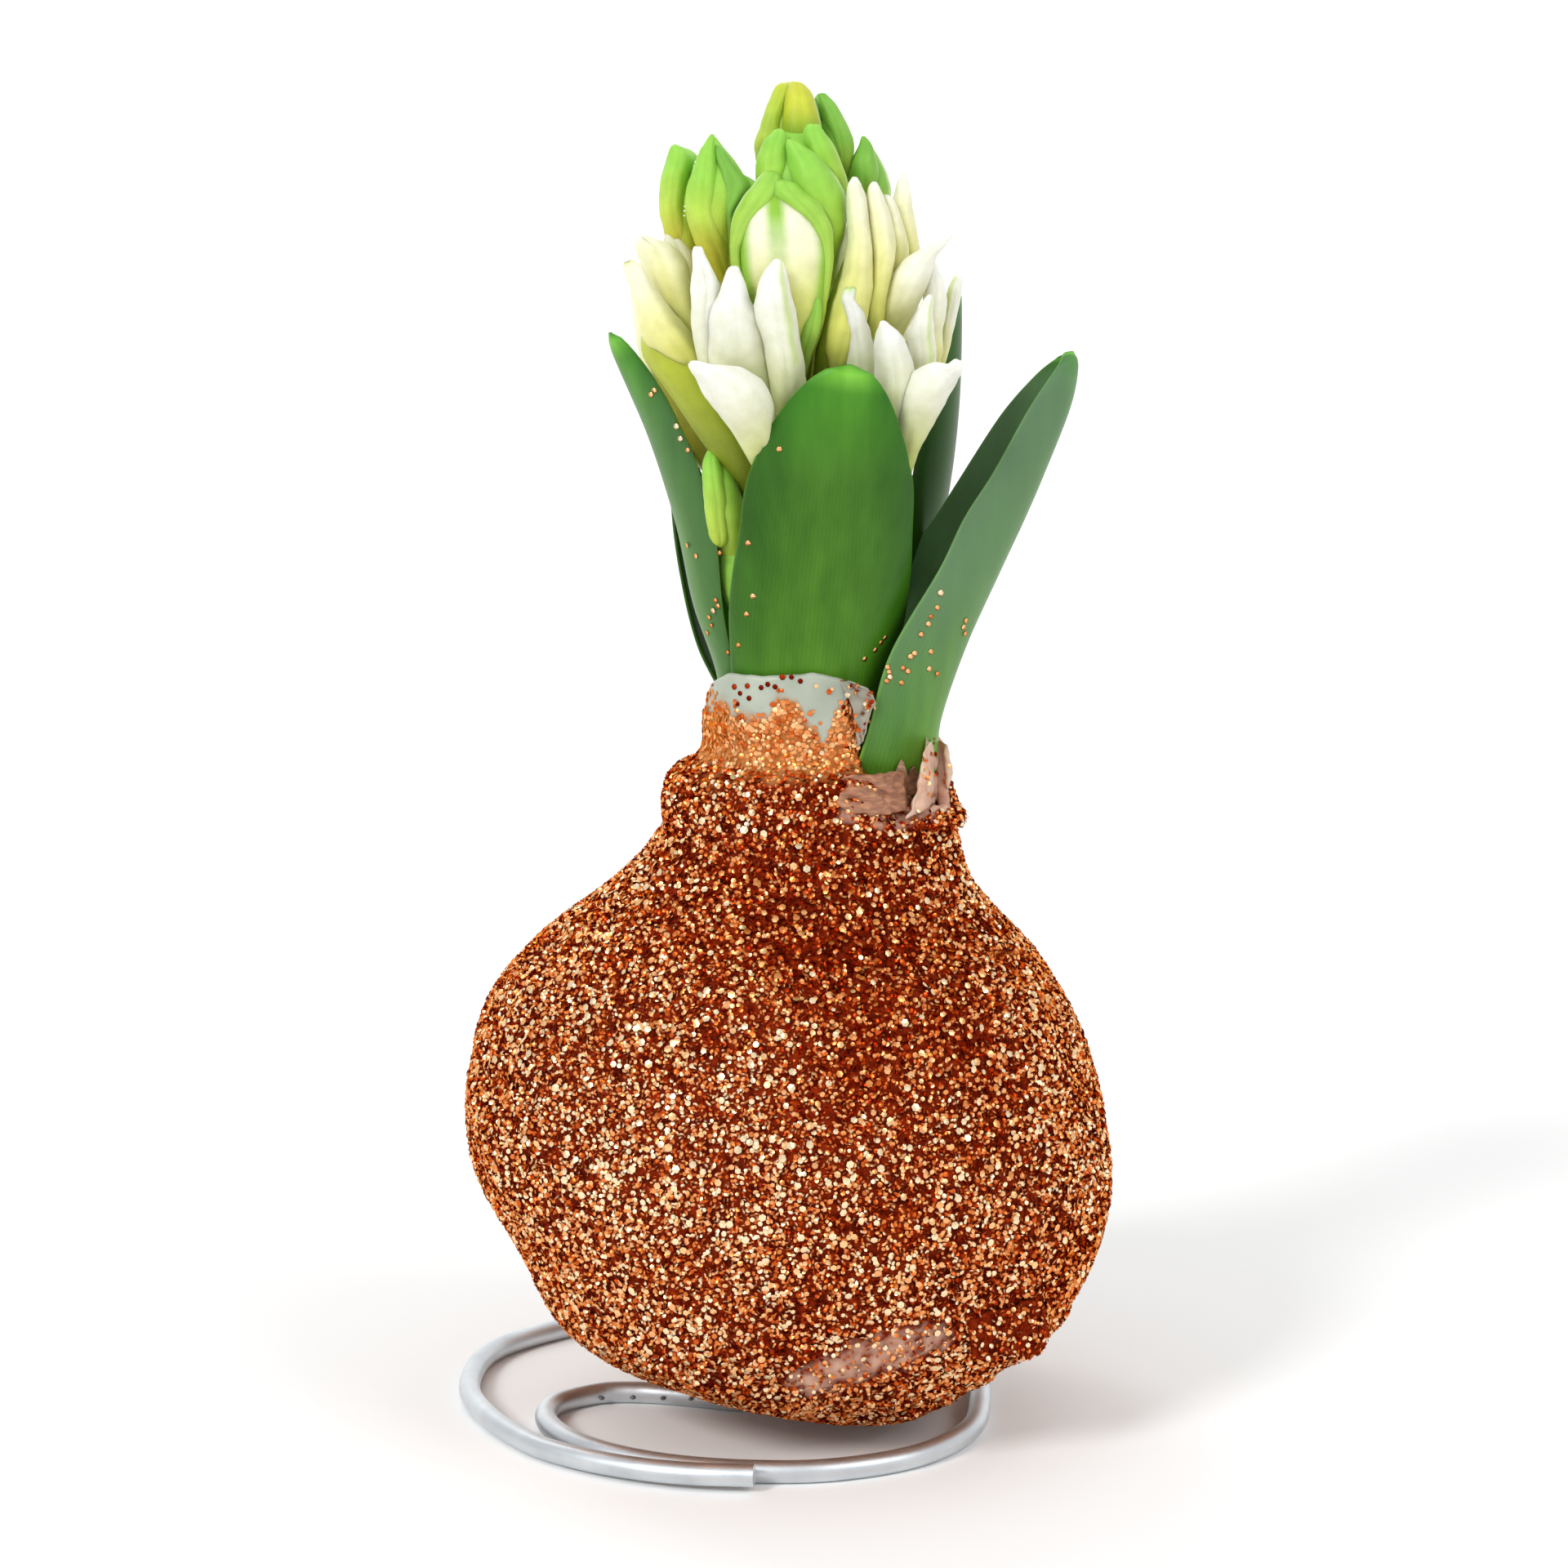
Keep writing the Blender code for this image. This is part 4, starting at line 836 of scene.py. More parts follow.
bulb_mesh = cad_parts["hyacinth_bulb"].data
bulb_mesh.materials.clear()
bulb_mesh.materials.append(mottled("fleshy bulb scale", (2.5, 4, (1, 1, 0.3)),
                                   [(0.3, "#C9B98C"), (0.7, "#E4DCC0")], Roughness=0.5))
TUNIC = papery_tunic()


def tunic_sheet(azimuths, radii, tops, rows, fold, pale):
    """A strip of tunic that stands on the bulb's top edge and is crumpled by folds."""
    surface, shade = [], []
    for s in np.linspace(0, 1, rows):
        line = []
        for azimuth, radius, top in zip(azimuths, radii, tops):
            height = BULB_TOP - 0.4 + s * (top - BULB_TOP + 0.4)
            crumple = fold * math.sin(9 * s + 0.09 * azimuth) * s ** 0.5
            line.append(NECK_AXIS + (radius + crumple) * heading(azimuth) + (0, 0, height))
        surface.append(line)
        shade.append([pale * s] * len(azimuths))
    surface = np.array(surface)
    surface += np.array([[[0.25 * ripple(p, 1.3, k) for k in (0, 9, 21)] for p in line] for line in surface])
    return surface, shade


def tunic_strip(first, last, inset, tops, fold, pale, columns=40, rows=26):
    azimuths = np.linspace(first, last, columns)
    shares = np.linspace(0, 1, len(tops))
    heights = np.interp(np.linspace(0, 1, columns), shares, tops)
    heights += [0.5 * ripple((a, 0, 0), 1.7, pale) for a in azimuths]
    radii = [around(OPENING, a) - inset for a in azimuths]
    surface, shade = tunic_sheet(azimuths, radii, heights, rows, fold, pale)
    thick = np.full(surface.shape[:2], 0.22) * (1 - np.abs(np.linspace(-1, 1, columns)) ** 8)[None, :]
    return sheet_body(surface, thick), sheet_field(shade)


TUNIC_STRIPS = [   # first and last azimuth, inset from the wall, heights of its torn edge, fold, paleness
    (-52, -14, 0.9, (76.4, 75.2, 75.8, 75.0, 75.4, 75.0), 0.55, 0.15),
    (-36, -22, 2.0, (76.6, 79.6, 77.4, 78.8, 76.2), 0.3, 0.25),
    (-24, -17, 1.3, (75.0, 78.4, 82.0, 79.0, 80.4, 75.0), 0.25, 0.9),
]
WAX_PLACES = outside.reshape(-1, 3)
TUNIC_BAND = [     # picture place of the band's free edge, then of the edge that lies on the wax
    (1020, 966, 1026, 986), (1034, 953, 1038, 993), (1054, 949, 1058, 997), (1075, 948, 1078, 998),
    (1094, 946, 1096, 996), (1108, 944, 1112, 990), (1120, 940, 1124, 982),
]
RIBBON_ROWS = 60
RIBBON_COLUMNS = 22


def ribbon(rows, outer, inner, folds, seed):
    """A crumpled band: one edge lies on the wax, the free one goes inward by a depth."""
    grid, rows = [], through(rows, RIBBON_ROWS)
    depths = np.pad([front_depth(WAX_PLACES, *row[2:]) for row in rows], 8, mode="edge")
    depths = np.convolve(depths, np.full(17, 1 / 17), mode="valid") - outer
    for k, ((ax, ay, bx, by), near) in enumerate(zip(rows, depths)):
        line = []
        for s in np.linspace(0, 1, RIBBON_COLUMNS):
            depth = near + inner * (1 - s) ** 1.6
            point = seen(ax + (bx - ax) * s, ay + (by - ay) * s, depth)
            point[1] -= folds * math.sin(11 * s + 3.4 * math.sin(0.11 * k)) * math.sin(math.pi * min(s * 1.2, 1))
            line.append(point + 0.3 * np.array([ripple(point, 1.2, seed + j) for j in (0, 9, 21)]))
        grid.append(line)
    grid = np.array(grid)
    ends = 1 - np.abs(np.linspace(-1, 1, RIBBON_ROWS)) ** 8
    return sheet_body(grid, 0.24 * ends[:, None] * np.ones(RIBBON_COLUMNS)), sheet_field(0 * grid[..., 0] + 0.12)


strips = [tunic_strip(*strip) for strip in TUNIC_STRIPS] + [ribbon(TUNIC_BAND, 0.08, 2.4, 0.6, 1)]
make_piece("torn_tunic", [s[0] for s in strips], TUNIC, "tunic", ["bulb_tunic"], along=[s[1] for s in strips])


# %% [markdown]
# Three scraps of wax curl up from the coat: a curled pinkish edge right of the crater, a milky tongue at
# the collar's corner, and the torn flap that hangs low on the right. All are ribbons of the same wax.


# %% Wax scraps
WAX_SCRAPS = {    # picture places of free edge and edge on the wax; stand-off, inward, fold, cover, milk
    "curled_wax_edge": ([(1119, 985, 1108, 1003), (1128, 940, 1122, 997), (1136, 911, 1136, 989),
                         (1147, 903, 1150, 979), (1157, 911, 1160, 967),
                         (1163, 930, 1166, 952)], 0.1, 1.2, 0.15, 0.1, 0.1),
    "wax_tongue": ([(1040, 834, 1028, 834), (1060, 843, 1036, 848), (1073, 855, 1042, 864), (1067, 872, 1046, 882),
                    (1061, 888, 1048, 900), (1056, 908, 1050, 916)], 0.1, -0.6, 0.1, 0.35, 1.0),
    "torn_wax_flap": ([(1190, 1662, 1184, 1616), (1212, 1666, 1208, 1608), (1236, 1661, 1230, 1602),
                       (1256, 1664, 1248, 1596), (1274, 1657, 1264, 1590), (1285, 1640, 1277, 1582)],
                      0.1, 0.3, 0.2, 1.0, 0.05),
}
for scrap, (rows, outer, inner, folds, cover, milk) in WAX_SCRAPS.items():
    body, field = ribbon(rows, outer, inner, folds, 3)
    count = len(field)
    made = make_piece(scrap, [body], WAX, "wax", cover=[np.full(count, cover)], tone=[np.full(count, 0.6)],
                      collar=[np.zeros(count)], milk=[np.full(count, milk)])
    flakes = grown("flakes_" + scrap, made.data.copy(), scatter, Thickness=FLAKE_THICKNESS * MM, Seed=9,
                   **FLAKE_GRADES["body"])
    pieces += split_flakes(flakes, pieces)


# %% [markdown]
# The leaves are thick, channelled straps that stand up out of the neck. Each is a sheet along its
# midrib: every row is an arc round the inner side of the leaf, so the blade is a gutter that
# flattens towards a hooded tip. The blade is 1 mm thick in the middle and thin at its margins.


# %% Leaves
LEAF_BASE = 71.8
LEAF_ROWS = 72
LEAF_COLUMNS = 25
LEAVES = {
    "leaf_front": dict(
        midrib=[(2.8, -8.4, LEAF_BASE), (3.1, -8.4, 80), (3.6, -8.8, 88), (4.3, -10.8, 95.5),
                (5.0, -13.9, 104), (5.7, -17.3, 114), (7.3, -19.8, 125.2)],
        half_width=[9.4, 9.8, 10.6, 11.2, 10.5, 8.9, 1.2], roll=[60, 58, 52, 42, 32, 26, 20],
        facing=(-82, -82)),
    "leaf_left": dict(
        midrib=[(-7.0, -0.9, LEAF_BASE), (-7.0, -0.9, 80), (-7.1, -1.2, 88), (-9.8, -3.2, 97),
                (-11.7, -5.0, 107), (-14.9, -5.8, 117.5), (-19.7, -6.2, 128.3)],
        half_width=[3.1, 3.3, 3.8, 5.2, 5.8, 4.4, 0.8], roll=[28, 30, 32, 38, 42, 42, 36],
        facing=(184, 208)),
    "leaf_right_back": dict(
        midrib=[(7.6, 2.4, LEAF_BASE), (8.0, 2.8, 80), (10.4, 4.8, 88), (14.4, 8.7, 95.5),
                (18.0, 11.2, 104), (19.9, 11.9, 117), (20.3, 11.6, 133.4)],
        half_width=[4.4, 5.0, 6.6, 7.6, 7.8, 6.2, 0.8], roll=[40, 44, 52, 52, 50, 44, 34],
        facing=(22, -24)),
    "leaf_back": dict(
        midrib=[(2.4, 8.5, LEAF_BASE), (2.4, 8.5, 78), (2.4, 8.8, 84), (2.6, 12.2, 93),
                (2.9, 16.8, 103), (3.0, 20.8, 112), (3.2, 23.8, 121)],
        half_width=[3.4, 3.4, 3.7, 6.0, 7.6, 6.2, 0.9], roll=[24, 24, 26, 32, 32, 30, 26],
        facing=(86, 86)),
    "leaf_left_back": dict(
        midrib=[(-4.6, 5.9, LEAF_BASE), (-4.6, 5.9, 79), (-5.3, 6.5, 84.5), (-8.2, 8.8, 91),
                (-10.2, 9.8, 99), (-11.6, 10.5, 107), (-12.7, 11.0, 115.5)],
        half_width=[2.6, 2.8, 3.2, 4.2, 4.6, 4.0, 0.8], roll=[18, 20, 24, 30, 32, 32, 28],
        facing=(136, 145)),
}


LEAF_RIGHT = [    # picture place and depth of the near margin, of the keel and of the far margin
    (1040, 1011, -7.2, 1136, 1008, -2.5, 1090, 994, 4.0), (1046, 952, -8.4, 1141, 938, -2.5, 1096, 930, 4.5),
    (1064, 890, -9.4, 1147, 882, -2.6, 1088, 872, 5.0), (1090, 800, -9.0, 1176, 796, -2.4, 1082, 790, 5.5),
    (1150, 697, -8.4, 1219, 697, -1.8, 1108, 690, 6.5), (1180, 635, -7.6, 1249, 634, -1.2, 1146, 632, 6.5),
    (1215, 580, -6.5, 1273, 578, -0.6, 1176, 584, 5.5), (1260, 500, -4.4, 1304, 500, 0.3, 1226, 507, 4.6),
    (1294, 449, -2.2, 1314, 453, 0.6, 1268, 459, 3.2), (1301, 434, -0.4, 1311, 431, 0.4, 1295, 437, 1.6),
]


def blade_thickness(across, widths):
    """Thickness over a blade: full in the middle, thin at its margins and at its narrow tip."""
    return (1 - across ** 4)[None, :] ** 0.5 * np.minimum(1, 0.35 + np.array(widths) / 3)[:, None]


def drawn_leaf(rows):
    """A gutter-shaped blade through its margins and keel, with its thickness."""
    across = -np.cos(np.linspace(0, math.pi, LEAF_COLUMNS))
    grid, widths = [], []
    for row in through(rows, LEAF_ROWS):
        near, keel, far = seen(*row[:3]), seen(*row[3:6]), seen(*row[6:])
        grid.append([keel + t * (far - near) / 2 + t * t * ((near + far) / 2 - keel) for t in across])
        widths.append(np.linalg.norm(far - near) / 2)
    return np.array(grid), blade_thickness(across, widths), across


def leaf_surface(midrib, half_width, roll, facing):
    """The blade's middle surface, and its thickness, as a grid from base to tip."""
    centres = through(midrib, LEAF_ROWS)
    widths = through([[w] for w in half_width], LEAF_ROWS)[:, 0]
    keys = np.linspace(0, len(midrib) - 1, LEAF_ROWS)
    into_tip = np.clip(keys - (len(midrib) - 2), 0, 1)
    widths = np.where(into_tip > 0, half_width[-2] * (1 - into_tip ** 1.15) ** 0.52 + 0.05, widths)
    rolls = np.radians(through([[r] for r in roll], LEAF_ROWS)[:, 0])
    tangents = unit(np.gradient(centres, axis=0))
    across = -np.cos(np.linspace(0, math.pi, LEAF_COLUMNS))
    grid = []
    for row in range(LEAF_ROWS):
        along = tangents[row] if row else np.array((0, 0, 1.0))
        out = heading(facing[0] + (facing[1] - facing[0]) * row / (LEAF_ROWS - 1))
        out = unit(out - out.dot(along) * along)
        side = np.cross(along, out)
        radius = widths[row] / rolls[row]
        turns = rolls[row] * across
        grid.append(centres[row] + radius * np.sin(turns)[:, None] * side
                    - radius * (1 - np.cos(turns))[:, None] * out)
    return np.array(grid), blade_thickness(across, widths), across


def leaf_flesh():
    """Living leaf: waxy skin over green flesh, paler at its foot, with fine lengthwise veins, a painted
    highlight below the tip, a painted greyish sheen and painted shade on the blades behind.
    """
    made, tree, sockets = new_material("waxy green leaf", Roughness=0.38, Specular_IOR_Level=0.2,
                                       Subsurface_Weight=0.18, Subsurface_Radius=(0.4, 1.0, 0.2),
                                       Subsurface_Scale=0.0009)
    along, across, bloom, deep = (add_node(tree, FIELD, attribute_name=field).outputs["Fac"]
                                  for field in ("along", "across", "bloom", "deep"))
    side = add_node(tree, MATHS, {0: across}, operation="ABSOLUTE").outputs[0]
    # painted highlight: the bright band just below the tip stands for light falling on the hooded tip
    colour = add_node(tree, RAMP, {"Fac": along}, [
        (0.0, "#93BC48"), (0.22, "#6BA02A"), (0.45, "#538720"), (0.8, "#487B1E"), (0.955, "#569A28"),
        (0.985, "#8CD24C"), (1.0, "#63A834")]).outputs[0]
    margin = add_node(tree, RAMP, {"Fac": side}, [
        (0.0, "#FFFFFF"), (0.4, "#EFF4EA"), (0.8, "#C4DAC4"), (0.97, "#B6CBB8"), (0.995, "#FFFFE0")]).outputs[0]
    lines = add_node(tree, MATHS, {0: across, 1: 150.0}, operation="MULTIPLY").outputs[0]
    lines = add_node(tree, MATHS, {0: lines}, operation="SINE").outputs[0]
    veins = add_node(tree, RANGE, {"Value": lines, "From Min": -1.0, "To Min": 0.86}).outputs[0]
    veins = add_node(tree, "ShaderNodeCombineColor", {0: veins, 1: veins, 2: veins}).outputs[0]
    patches = add_node(tree, RAMP, {"Fac": grain(tree, 2.6, 4, (1, 1, 0.06))},
                       [(0.3, "#BFD0A8"), (0.7, "#FFFFFF")]).outputs[0]
    for share, shading in ((1.0, margin), (0.8, patches), (0.7, veins)):
        colour = add_node(tree, MIX, {0: share, 6: colour, 7: shading}, data_type="RGBA",
                          blend_type="MULTIPLY").outputs[2]
    # painted sheen: a greyish haze over the middle of the blade, weaker at the foot and the tip
    sheen_along = add_node(tree, RAMP, {"Fac": along}, [
        (0.12, "#000000"), (0.42, "#FFFFFF"), (0.85, "#FFFFFF"), (1.0, "#606060")]).outputs[0]
    bloom = add_node(tree, MATHS, {0: sheen_along, 1: bloom}, operation="MULTIPLY").outputs[0]
    # painted sheen and painted shade are mixed into the colour here
    for share, tone in ((bloom, "#8CA68E"), (deep, "#16300A")):
        colour = add_node(tree, MIX, {0: share, 6: colour, 7: linear(tone)}, data_type="RGBA").outputs[2]
    ridges = add_node(tree, BUMP, {"Height": lines, "Strength": 0.10, "Distance": 0.04 * MM}).outputs[0]
    plug(tree, sockets, Base_Color=colour, Normal=ridges)
    return made

PAINTED_SHADE_LEAVES = {"leaf_right_back": 0.65, "leaf_left_back": 0.6, "leaf_back": 0.3}    # painted shade on the blades that stand behind the others
PAINTED_SHEEN_LEAVES = {"leaf_right": 0.34, "leaf_left": 0.12}    # painted greyish sheen
LEAF = leaf_flesh()
BLADES = {node: leaf_surface(**shape) for node, shape in LEAVES.items()}
BLADES["leaf_right"] = drawn_leaf(LEAF_RIGHT)
for node, (surface, thickness, across) in BLADES.items():
    rows = np.linspace(0, 1, LEAF_ROWS)[:, None] * np.ones(LEAF_COLUMNS)
    columns = np.ones((LEAF_ROWS, 1)) * across
    deep, bloom = (sheet_field(np.full(surface.shape[:2], table.get(node, 0))) for table in (PAINTED_SHADE_LEAVES, PAINTED_SHEEN_LEAVES))
    make_piece(node.replace("leaf", "strap_leaf"), [sheet_body(surface, thickness)], LEAF, "leaf", [node],
               along=[sheet_field(rows)], across=[sheet_field(columns)], deep=[deep], bloom=[bloom])


# %% [markdown]
# Some flakes flew off and stuck to the leaves, and a few dark ones to the bare collar. Each is seated
# where the picture shows it: its place is read from the surface below, so it rests there from all sides.


# %% Stray flakes
BLADES["collar"] = (outside[-NECK_STEPS:], np.zeros((NECK_STEPS, WAX_COLUMNS)), None)
STRAYS = {        # surface: picture places, shade from and to
    "collar": ([(915, 840), (906, 849), (917, 855), (932, 842), (940, 838), (949, 841), (980, 834), (1033, 866),
                (1038, 859), (1043, 853), (1045, 868), (1035, 874), (1045, 908), (1037, 915), (958, 829), (969, 829),
                (899, 841), (903, 862)], 0.03, 0.22),
    "leaf_left": ([(801, 478), (797, 483), (828, 522), (833, 537), (842, 551), (841, 668), (852, 681), (881, 677),
                  (876, 735), (879, 742), (873, 748), (868, 756), (871, 766), (866, 775), (891, 799)], 0.6, 1.1),
    "leaf_front": ([(916, 665), (954, 550), (914, 752), (922, 730), (904, 790), (1084, 781), (1079, 787), (1072, 796),
                   (1059, 807)], 0.5, 1.0),
    "leaf_right": ([(1152, 726), (1148, 744), (1140, 755), (1137, 764), (1128, 777), (1140, 798), (1120, 800),
                   (1115, 804), (1106, 818), (1087, 817), (1089, 823), (1090, 829), (1086, 834), (1138, 819),
                   (1148, 825), (1183, 760), (1180, 768), (1182, 776), (1104, 836), (1112, 822)], 0.45, 1.1),
}
STRAY_RADIUS, STRAY_HALF = 0.36, 0.04    # the second is half of a flake's thickness


def stray(blade, across, down, draw):
    """One six-sided flake lying on a blade or on the collar."""
    surface, thickness, _ = BLADES[blade]
    away = np.hypot(*(in_picture(surface) - (across, down)).reshape(-1, 2).T)
    depths = surface[..., 1].ravel()
    front = depths < depths[away < max(9, away.min() + 2)].min() + 1.5
    row, column = divmod(int(np.where(front, away, 1e9).argmin()), surface.shape[1])
    row, column = (min(max(k, 1), size - 2) for k, size in zip((row, column), surface.shape))
    along = surface[row + 1, column] - surface[row - 1, column]
    side = surface[row, column + 1] - surface[row, column - 1]
    normal = unit(np.cross(side, along))
    normal = normal if normal[1] < 0 else -normal
    skin = surface[row, column] + normal * (thickness[row, column] / 2 + STRAY_HALF)
    start, end = seen(across, down, -30), seen(across, down, 30)
    centre = start + (end - start) * np.dot(skin - start, normal) / np.dot(end - start, normal)
    one, radius = unit(side), STRAY_RADIUS * (0.75 + 0.3 * draw)
    two = np.cross(normal, one)
    corners = [radius * (math.cos(u) * one + math.sin(u) * two) for u in np.radians(range(0, 360, 60))]
    rings = [[centre + normal * h + corner for corner in corners] for h in (-STRAY_HALF, STRAY_HALF)]
    return loft(rings, centre - STRAY_HALF * normal, centre + 1.5 * STRAY_HALF * normal)


flecks, shades = [], []
for blade, (places, darkest, brightest) in STRAYS.items():
    for place in places:
        draw = 0.5 + 0.9 * ripple((*place, 0), 7.3, 2)
        flecks.append(stray(blade, *place, draw))
        shades.append(np.full(14, darkest + (brightest - darkest) * draw))
make_piece("stray_glitter", flecks, GLITTER, "wax", shade=shades)


# %% [markdown]
# The flower stem is a plain fleshy stalk that shows only between the florets. A sweep would do, but
# a loft lets its rings follow the taper and gives them the seven faint ribs of a real stalk.


# %% Flower stem
STEM = [(1.6, 0.0, LEAF_BASE, 4.6), (1.6, 0.0, 96, 4.4), (1.4, 0.0, 112, 3.9), (1.2, 0.0, 124, 3.2),
        (1.0, 0.2, 134, 2.3), (0.8, 0.8, 142, 1.6)]


STEM_FLESH = mottled("fleshy green stem", (3.0, 4, (1, 1, 0.15)), [(0.3, "#7E9A35"), (0.7, "#B3C45A")],
                     Roughness=0.42, Subsurface_Weight=0.2, Subsurface_Scale=0.001)
stalk = through(STEM, 60)
rings = [row[:3] + row[3] * (1 + 0.03 * math.cos(7 * math.radians(a))) * heading(a)
         for row in stalk for a in np.arange(0, 360, 7.5)]
stem_body = loft(np.array(rings).reshape(60, 48, 3), stalk[0][:3], stalk[-1][:3] + (0, 0, 0.8))
make_piece("flower_stalk", [stem_body], STEM_FLESH, "stem", ["flower_stem"])


# %% [markdown]
# A hyacinth floret is six fleshy tepals in two rings of three. They are joined in a tube at the
# foot and free above it; in a bud they close over one another. Each tepal is a sheet that follows
# the floret's own bent axis, and the florets press against each other as they do in a tight head.


# %% Floret frames
FLORETS = {   # kind, tier, foot's azimuth and height, tip, half width, half depth
    "floret_white_front_left": ("open", "low", 248, 109, (-5.0, -15.4, 135.0), 6.6, 4.8),
    "floret_white_front_right": ("open", "low", -46, 107, (12.6, -11.6, 131.0), 6.3, 5.0),
    "floret_white_back_right": ("open", "low", 58, 108, (10.2, 14.8, 133.6), 5.8, 4.6),
    "floret_white_back_left": ("open", "low", 110, 107, (-4.4, 16.2, 133.0), 5.8, 4.6),
    "floret_cream_left": ("half", "low", 180, 110, (-14.3, 2.4, 139.6), 4.3, 4.2),
    "floret_cream_right": ("half", "low", 8, 113, (16.4, 1.2, 138.0), 4.8, 4.6),
    "floret_cream_front_right": ("half", "middle", -56, 118, (10.4, -6.6, 146.0), 5.4, 4.2),
    "floret_cream_back_right": ("half", "middle", 84, 119, (2.6, 11.8, 144.6), 5.0, 4.2),
    "floret_cream_back_left": ("half", "middle", 142, 118, (-8.2, 8.8, 143.4), 4.7, 4.2),
    "bud_striped_front": ("bud", "middle", -102, 121, (-0.7, -9.8, 145.6), 6.0, 4.2),
    "bud_green_front": ("bud", "top", -62, 134, (2.4, -5.6, 151.6), 5.4, 4.0),
    "bud_green_left_front": ("bud", "top", 220, 129, (-8.2, -6.2, 150.4), 4.2, 3.9),
    "bud_green_left": ("bud", "top", 178, 131, (-12.4, 0.6, 149.4), 3.9, 3.7),
    "bud_green_right_back": ("bud", "top", 30, 131, (9.8, 6.2, 149.8), 3.9, 3.7),
    "bud_green_back": ("bud", "top", 92, 135, (1.6, 8.6, 150.6), 4.2, 3.6),
    "bud_green_back_left": ("bud", "top", 134, 134, (-5.4, 7.6, 146.4), 4.0, 3.6),
    "bud_apex": ("bud", "top", -90, 142.6, (0.4, 0.8, 156.4), 4.2, 3.8),
    "bud_apex_right": ("bud", "top", 20, 138, (5.9, 3.8, 154.6), 3.1, 3.0),
    "bud_small_left": ("small", "low", 202, 104.5, (-8.8, -5.4, 115.0), 2.9, 2.6),
    "bud_small_left_low": ("small", "low", 230, 94, (-5.8, -6.2, 106.6), 2.0, 1.8),
    "bud_small_front": ("small", "low", -112, 98, (-2.9, -8.4, 109.0), 1.6, 1.5),
    "bud_small_right": ("small", "low", 14, 99, (9.4, 2.2, 112.0), 2.4, 2.2),
    "bud_small_back": ("small", "low", 82, 94, (2.8, 8.8, 106.4), 2.2, 2.0),
}
TIERS = {"low": (0.95, 0.22), "middle": (0.70, 0.36), "top": (0.74, 0.30)}
FOOT_RUN = 2.6
SIZES = {      # share of the length, share of the half width
    "open": [(0, 0), (0.06, 0.21), (0.18, 0.50), (0.30, 0.74), (0.42, 0.88), (1, 1)],
    "half": [(0, 0), (0.06, 0.25), (0.20, 0.62), (0.36, 0.82), (0.52, 0.92), (1, 1)],
    "bud": [(0, 0), (0.03, 0.20), (0.15, 0.46), (0.32, 0.80), (0.53, 1.0), (0.74, 0.92), (0.91, 0.58), (1, 0)],
    "small": [(0, 0), (0.04, 0.30), (0.24, 0.74), (0.52, 1.0), (0.80, 0.72), (1, 0)],
}


def floret_frame(tier, azimuth, height, tip):
    """Gives, at a share of a floret's length, its axis point, its outward side and its other side."""
    rows = np.array(STEM)
    x, y, radius = (float(np.interp(height, rows[:, 2], rows[:, k])) for k in (0, 1, 3))
    axis = np.array((x, y, height))
    foot = axis + (radius - 0.4) * heading(azimuth)
    start = foot + (FOOT_RUN + 1) * (heading(azimuth) + (0, 0, 0.3))
    if height > STEM[-1][2]:
        foot, start = axis, axis + (0, 0, FOOT_RUN)
    tip = np.array(tip)
    reach = (tip - axis) * (1, 1, 0)
    out, up = TIERS[tier]
    bend = axis + out * reach + (0, 0, up * (tip[2] - height))
    steps = np.linspace(0, 1, 61)[:, None]
    curve = ((1 - steps) ** 3 * foot + 3 * steps * (1 - steps) ** 2 * start + 3 * steps ** 2 * (1 - steps) * bend
             + steps ** 3 * tip)
    lengths = np.concatenate([[0], np.cumsum(np.linalg.norm(np.diff(curve, axis=0), axis=1))])

    def at(share):
        over = max(share - 1, 0) * lengths[-1]
        t = float(np.interp(share * lengths[-1], lengths, steps[:, 0]))
        point = (1 - t) ** 3 * foot + 3 * t * (1 - t) ** 2 * start + 3 * t * t * (1 - t) * bend + t ** 3 * tip
        along = unit((1 - t) ** 2 * (start - foot) + 2 * t * (1 - t) * (bend - start) + t * t * (tip - bend))
        side = unit(np.cross(along, reach))
        return point + over * along, np.cross(side, along), side

    return at


def floret_spine(kind, tier, azimuth, height, tip, half_width, half_depth):
    """Rows of a floret's axis: x, y, height, then its half depth and half width as plan vectors."""
    at = floret_frame(tier, azimuth, height, tip)
    shares, sizes = zip(*SIZES[kind])
    rows = []
    for share in np.linspace(0, 1, 41):
        point, out, side = at(share)
        size = float(np.interp(share, shares, sizes))
        rows.append([*point, *(size * half_depth * out[:2]), *(size * half_width * side[:2])])
    return np.array(rows)


SPINES = {name: floret_spine(*shape) for name, shape in FLORETS.items()}
PRESS_CLEARANCE = 0.12
PRESS_KNEE = 0.82


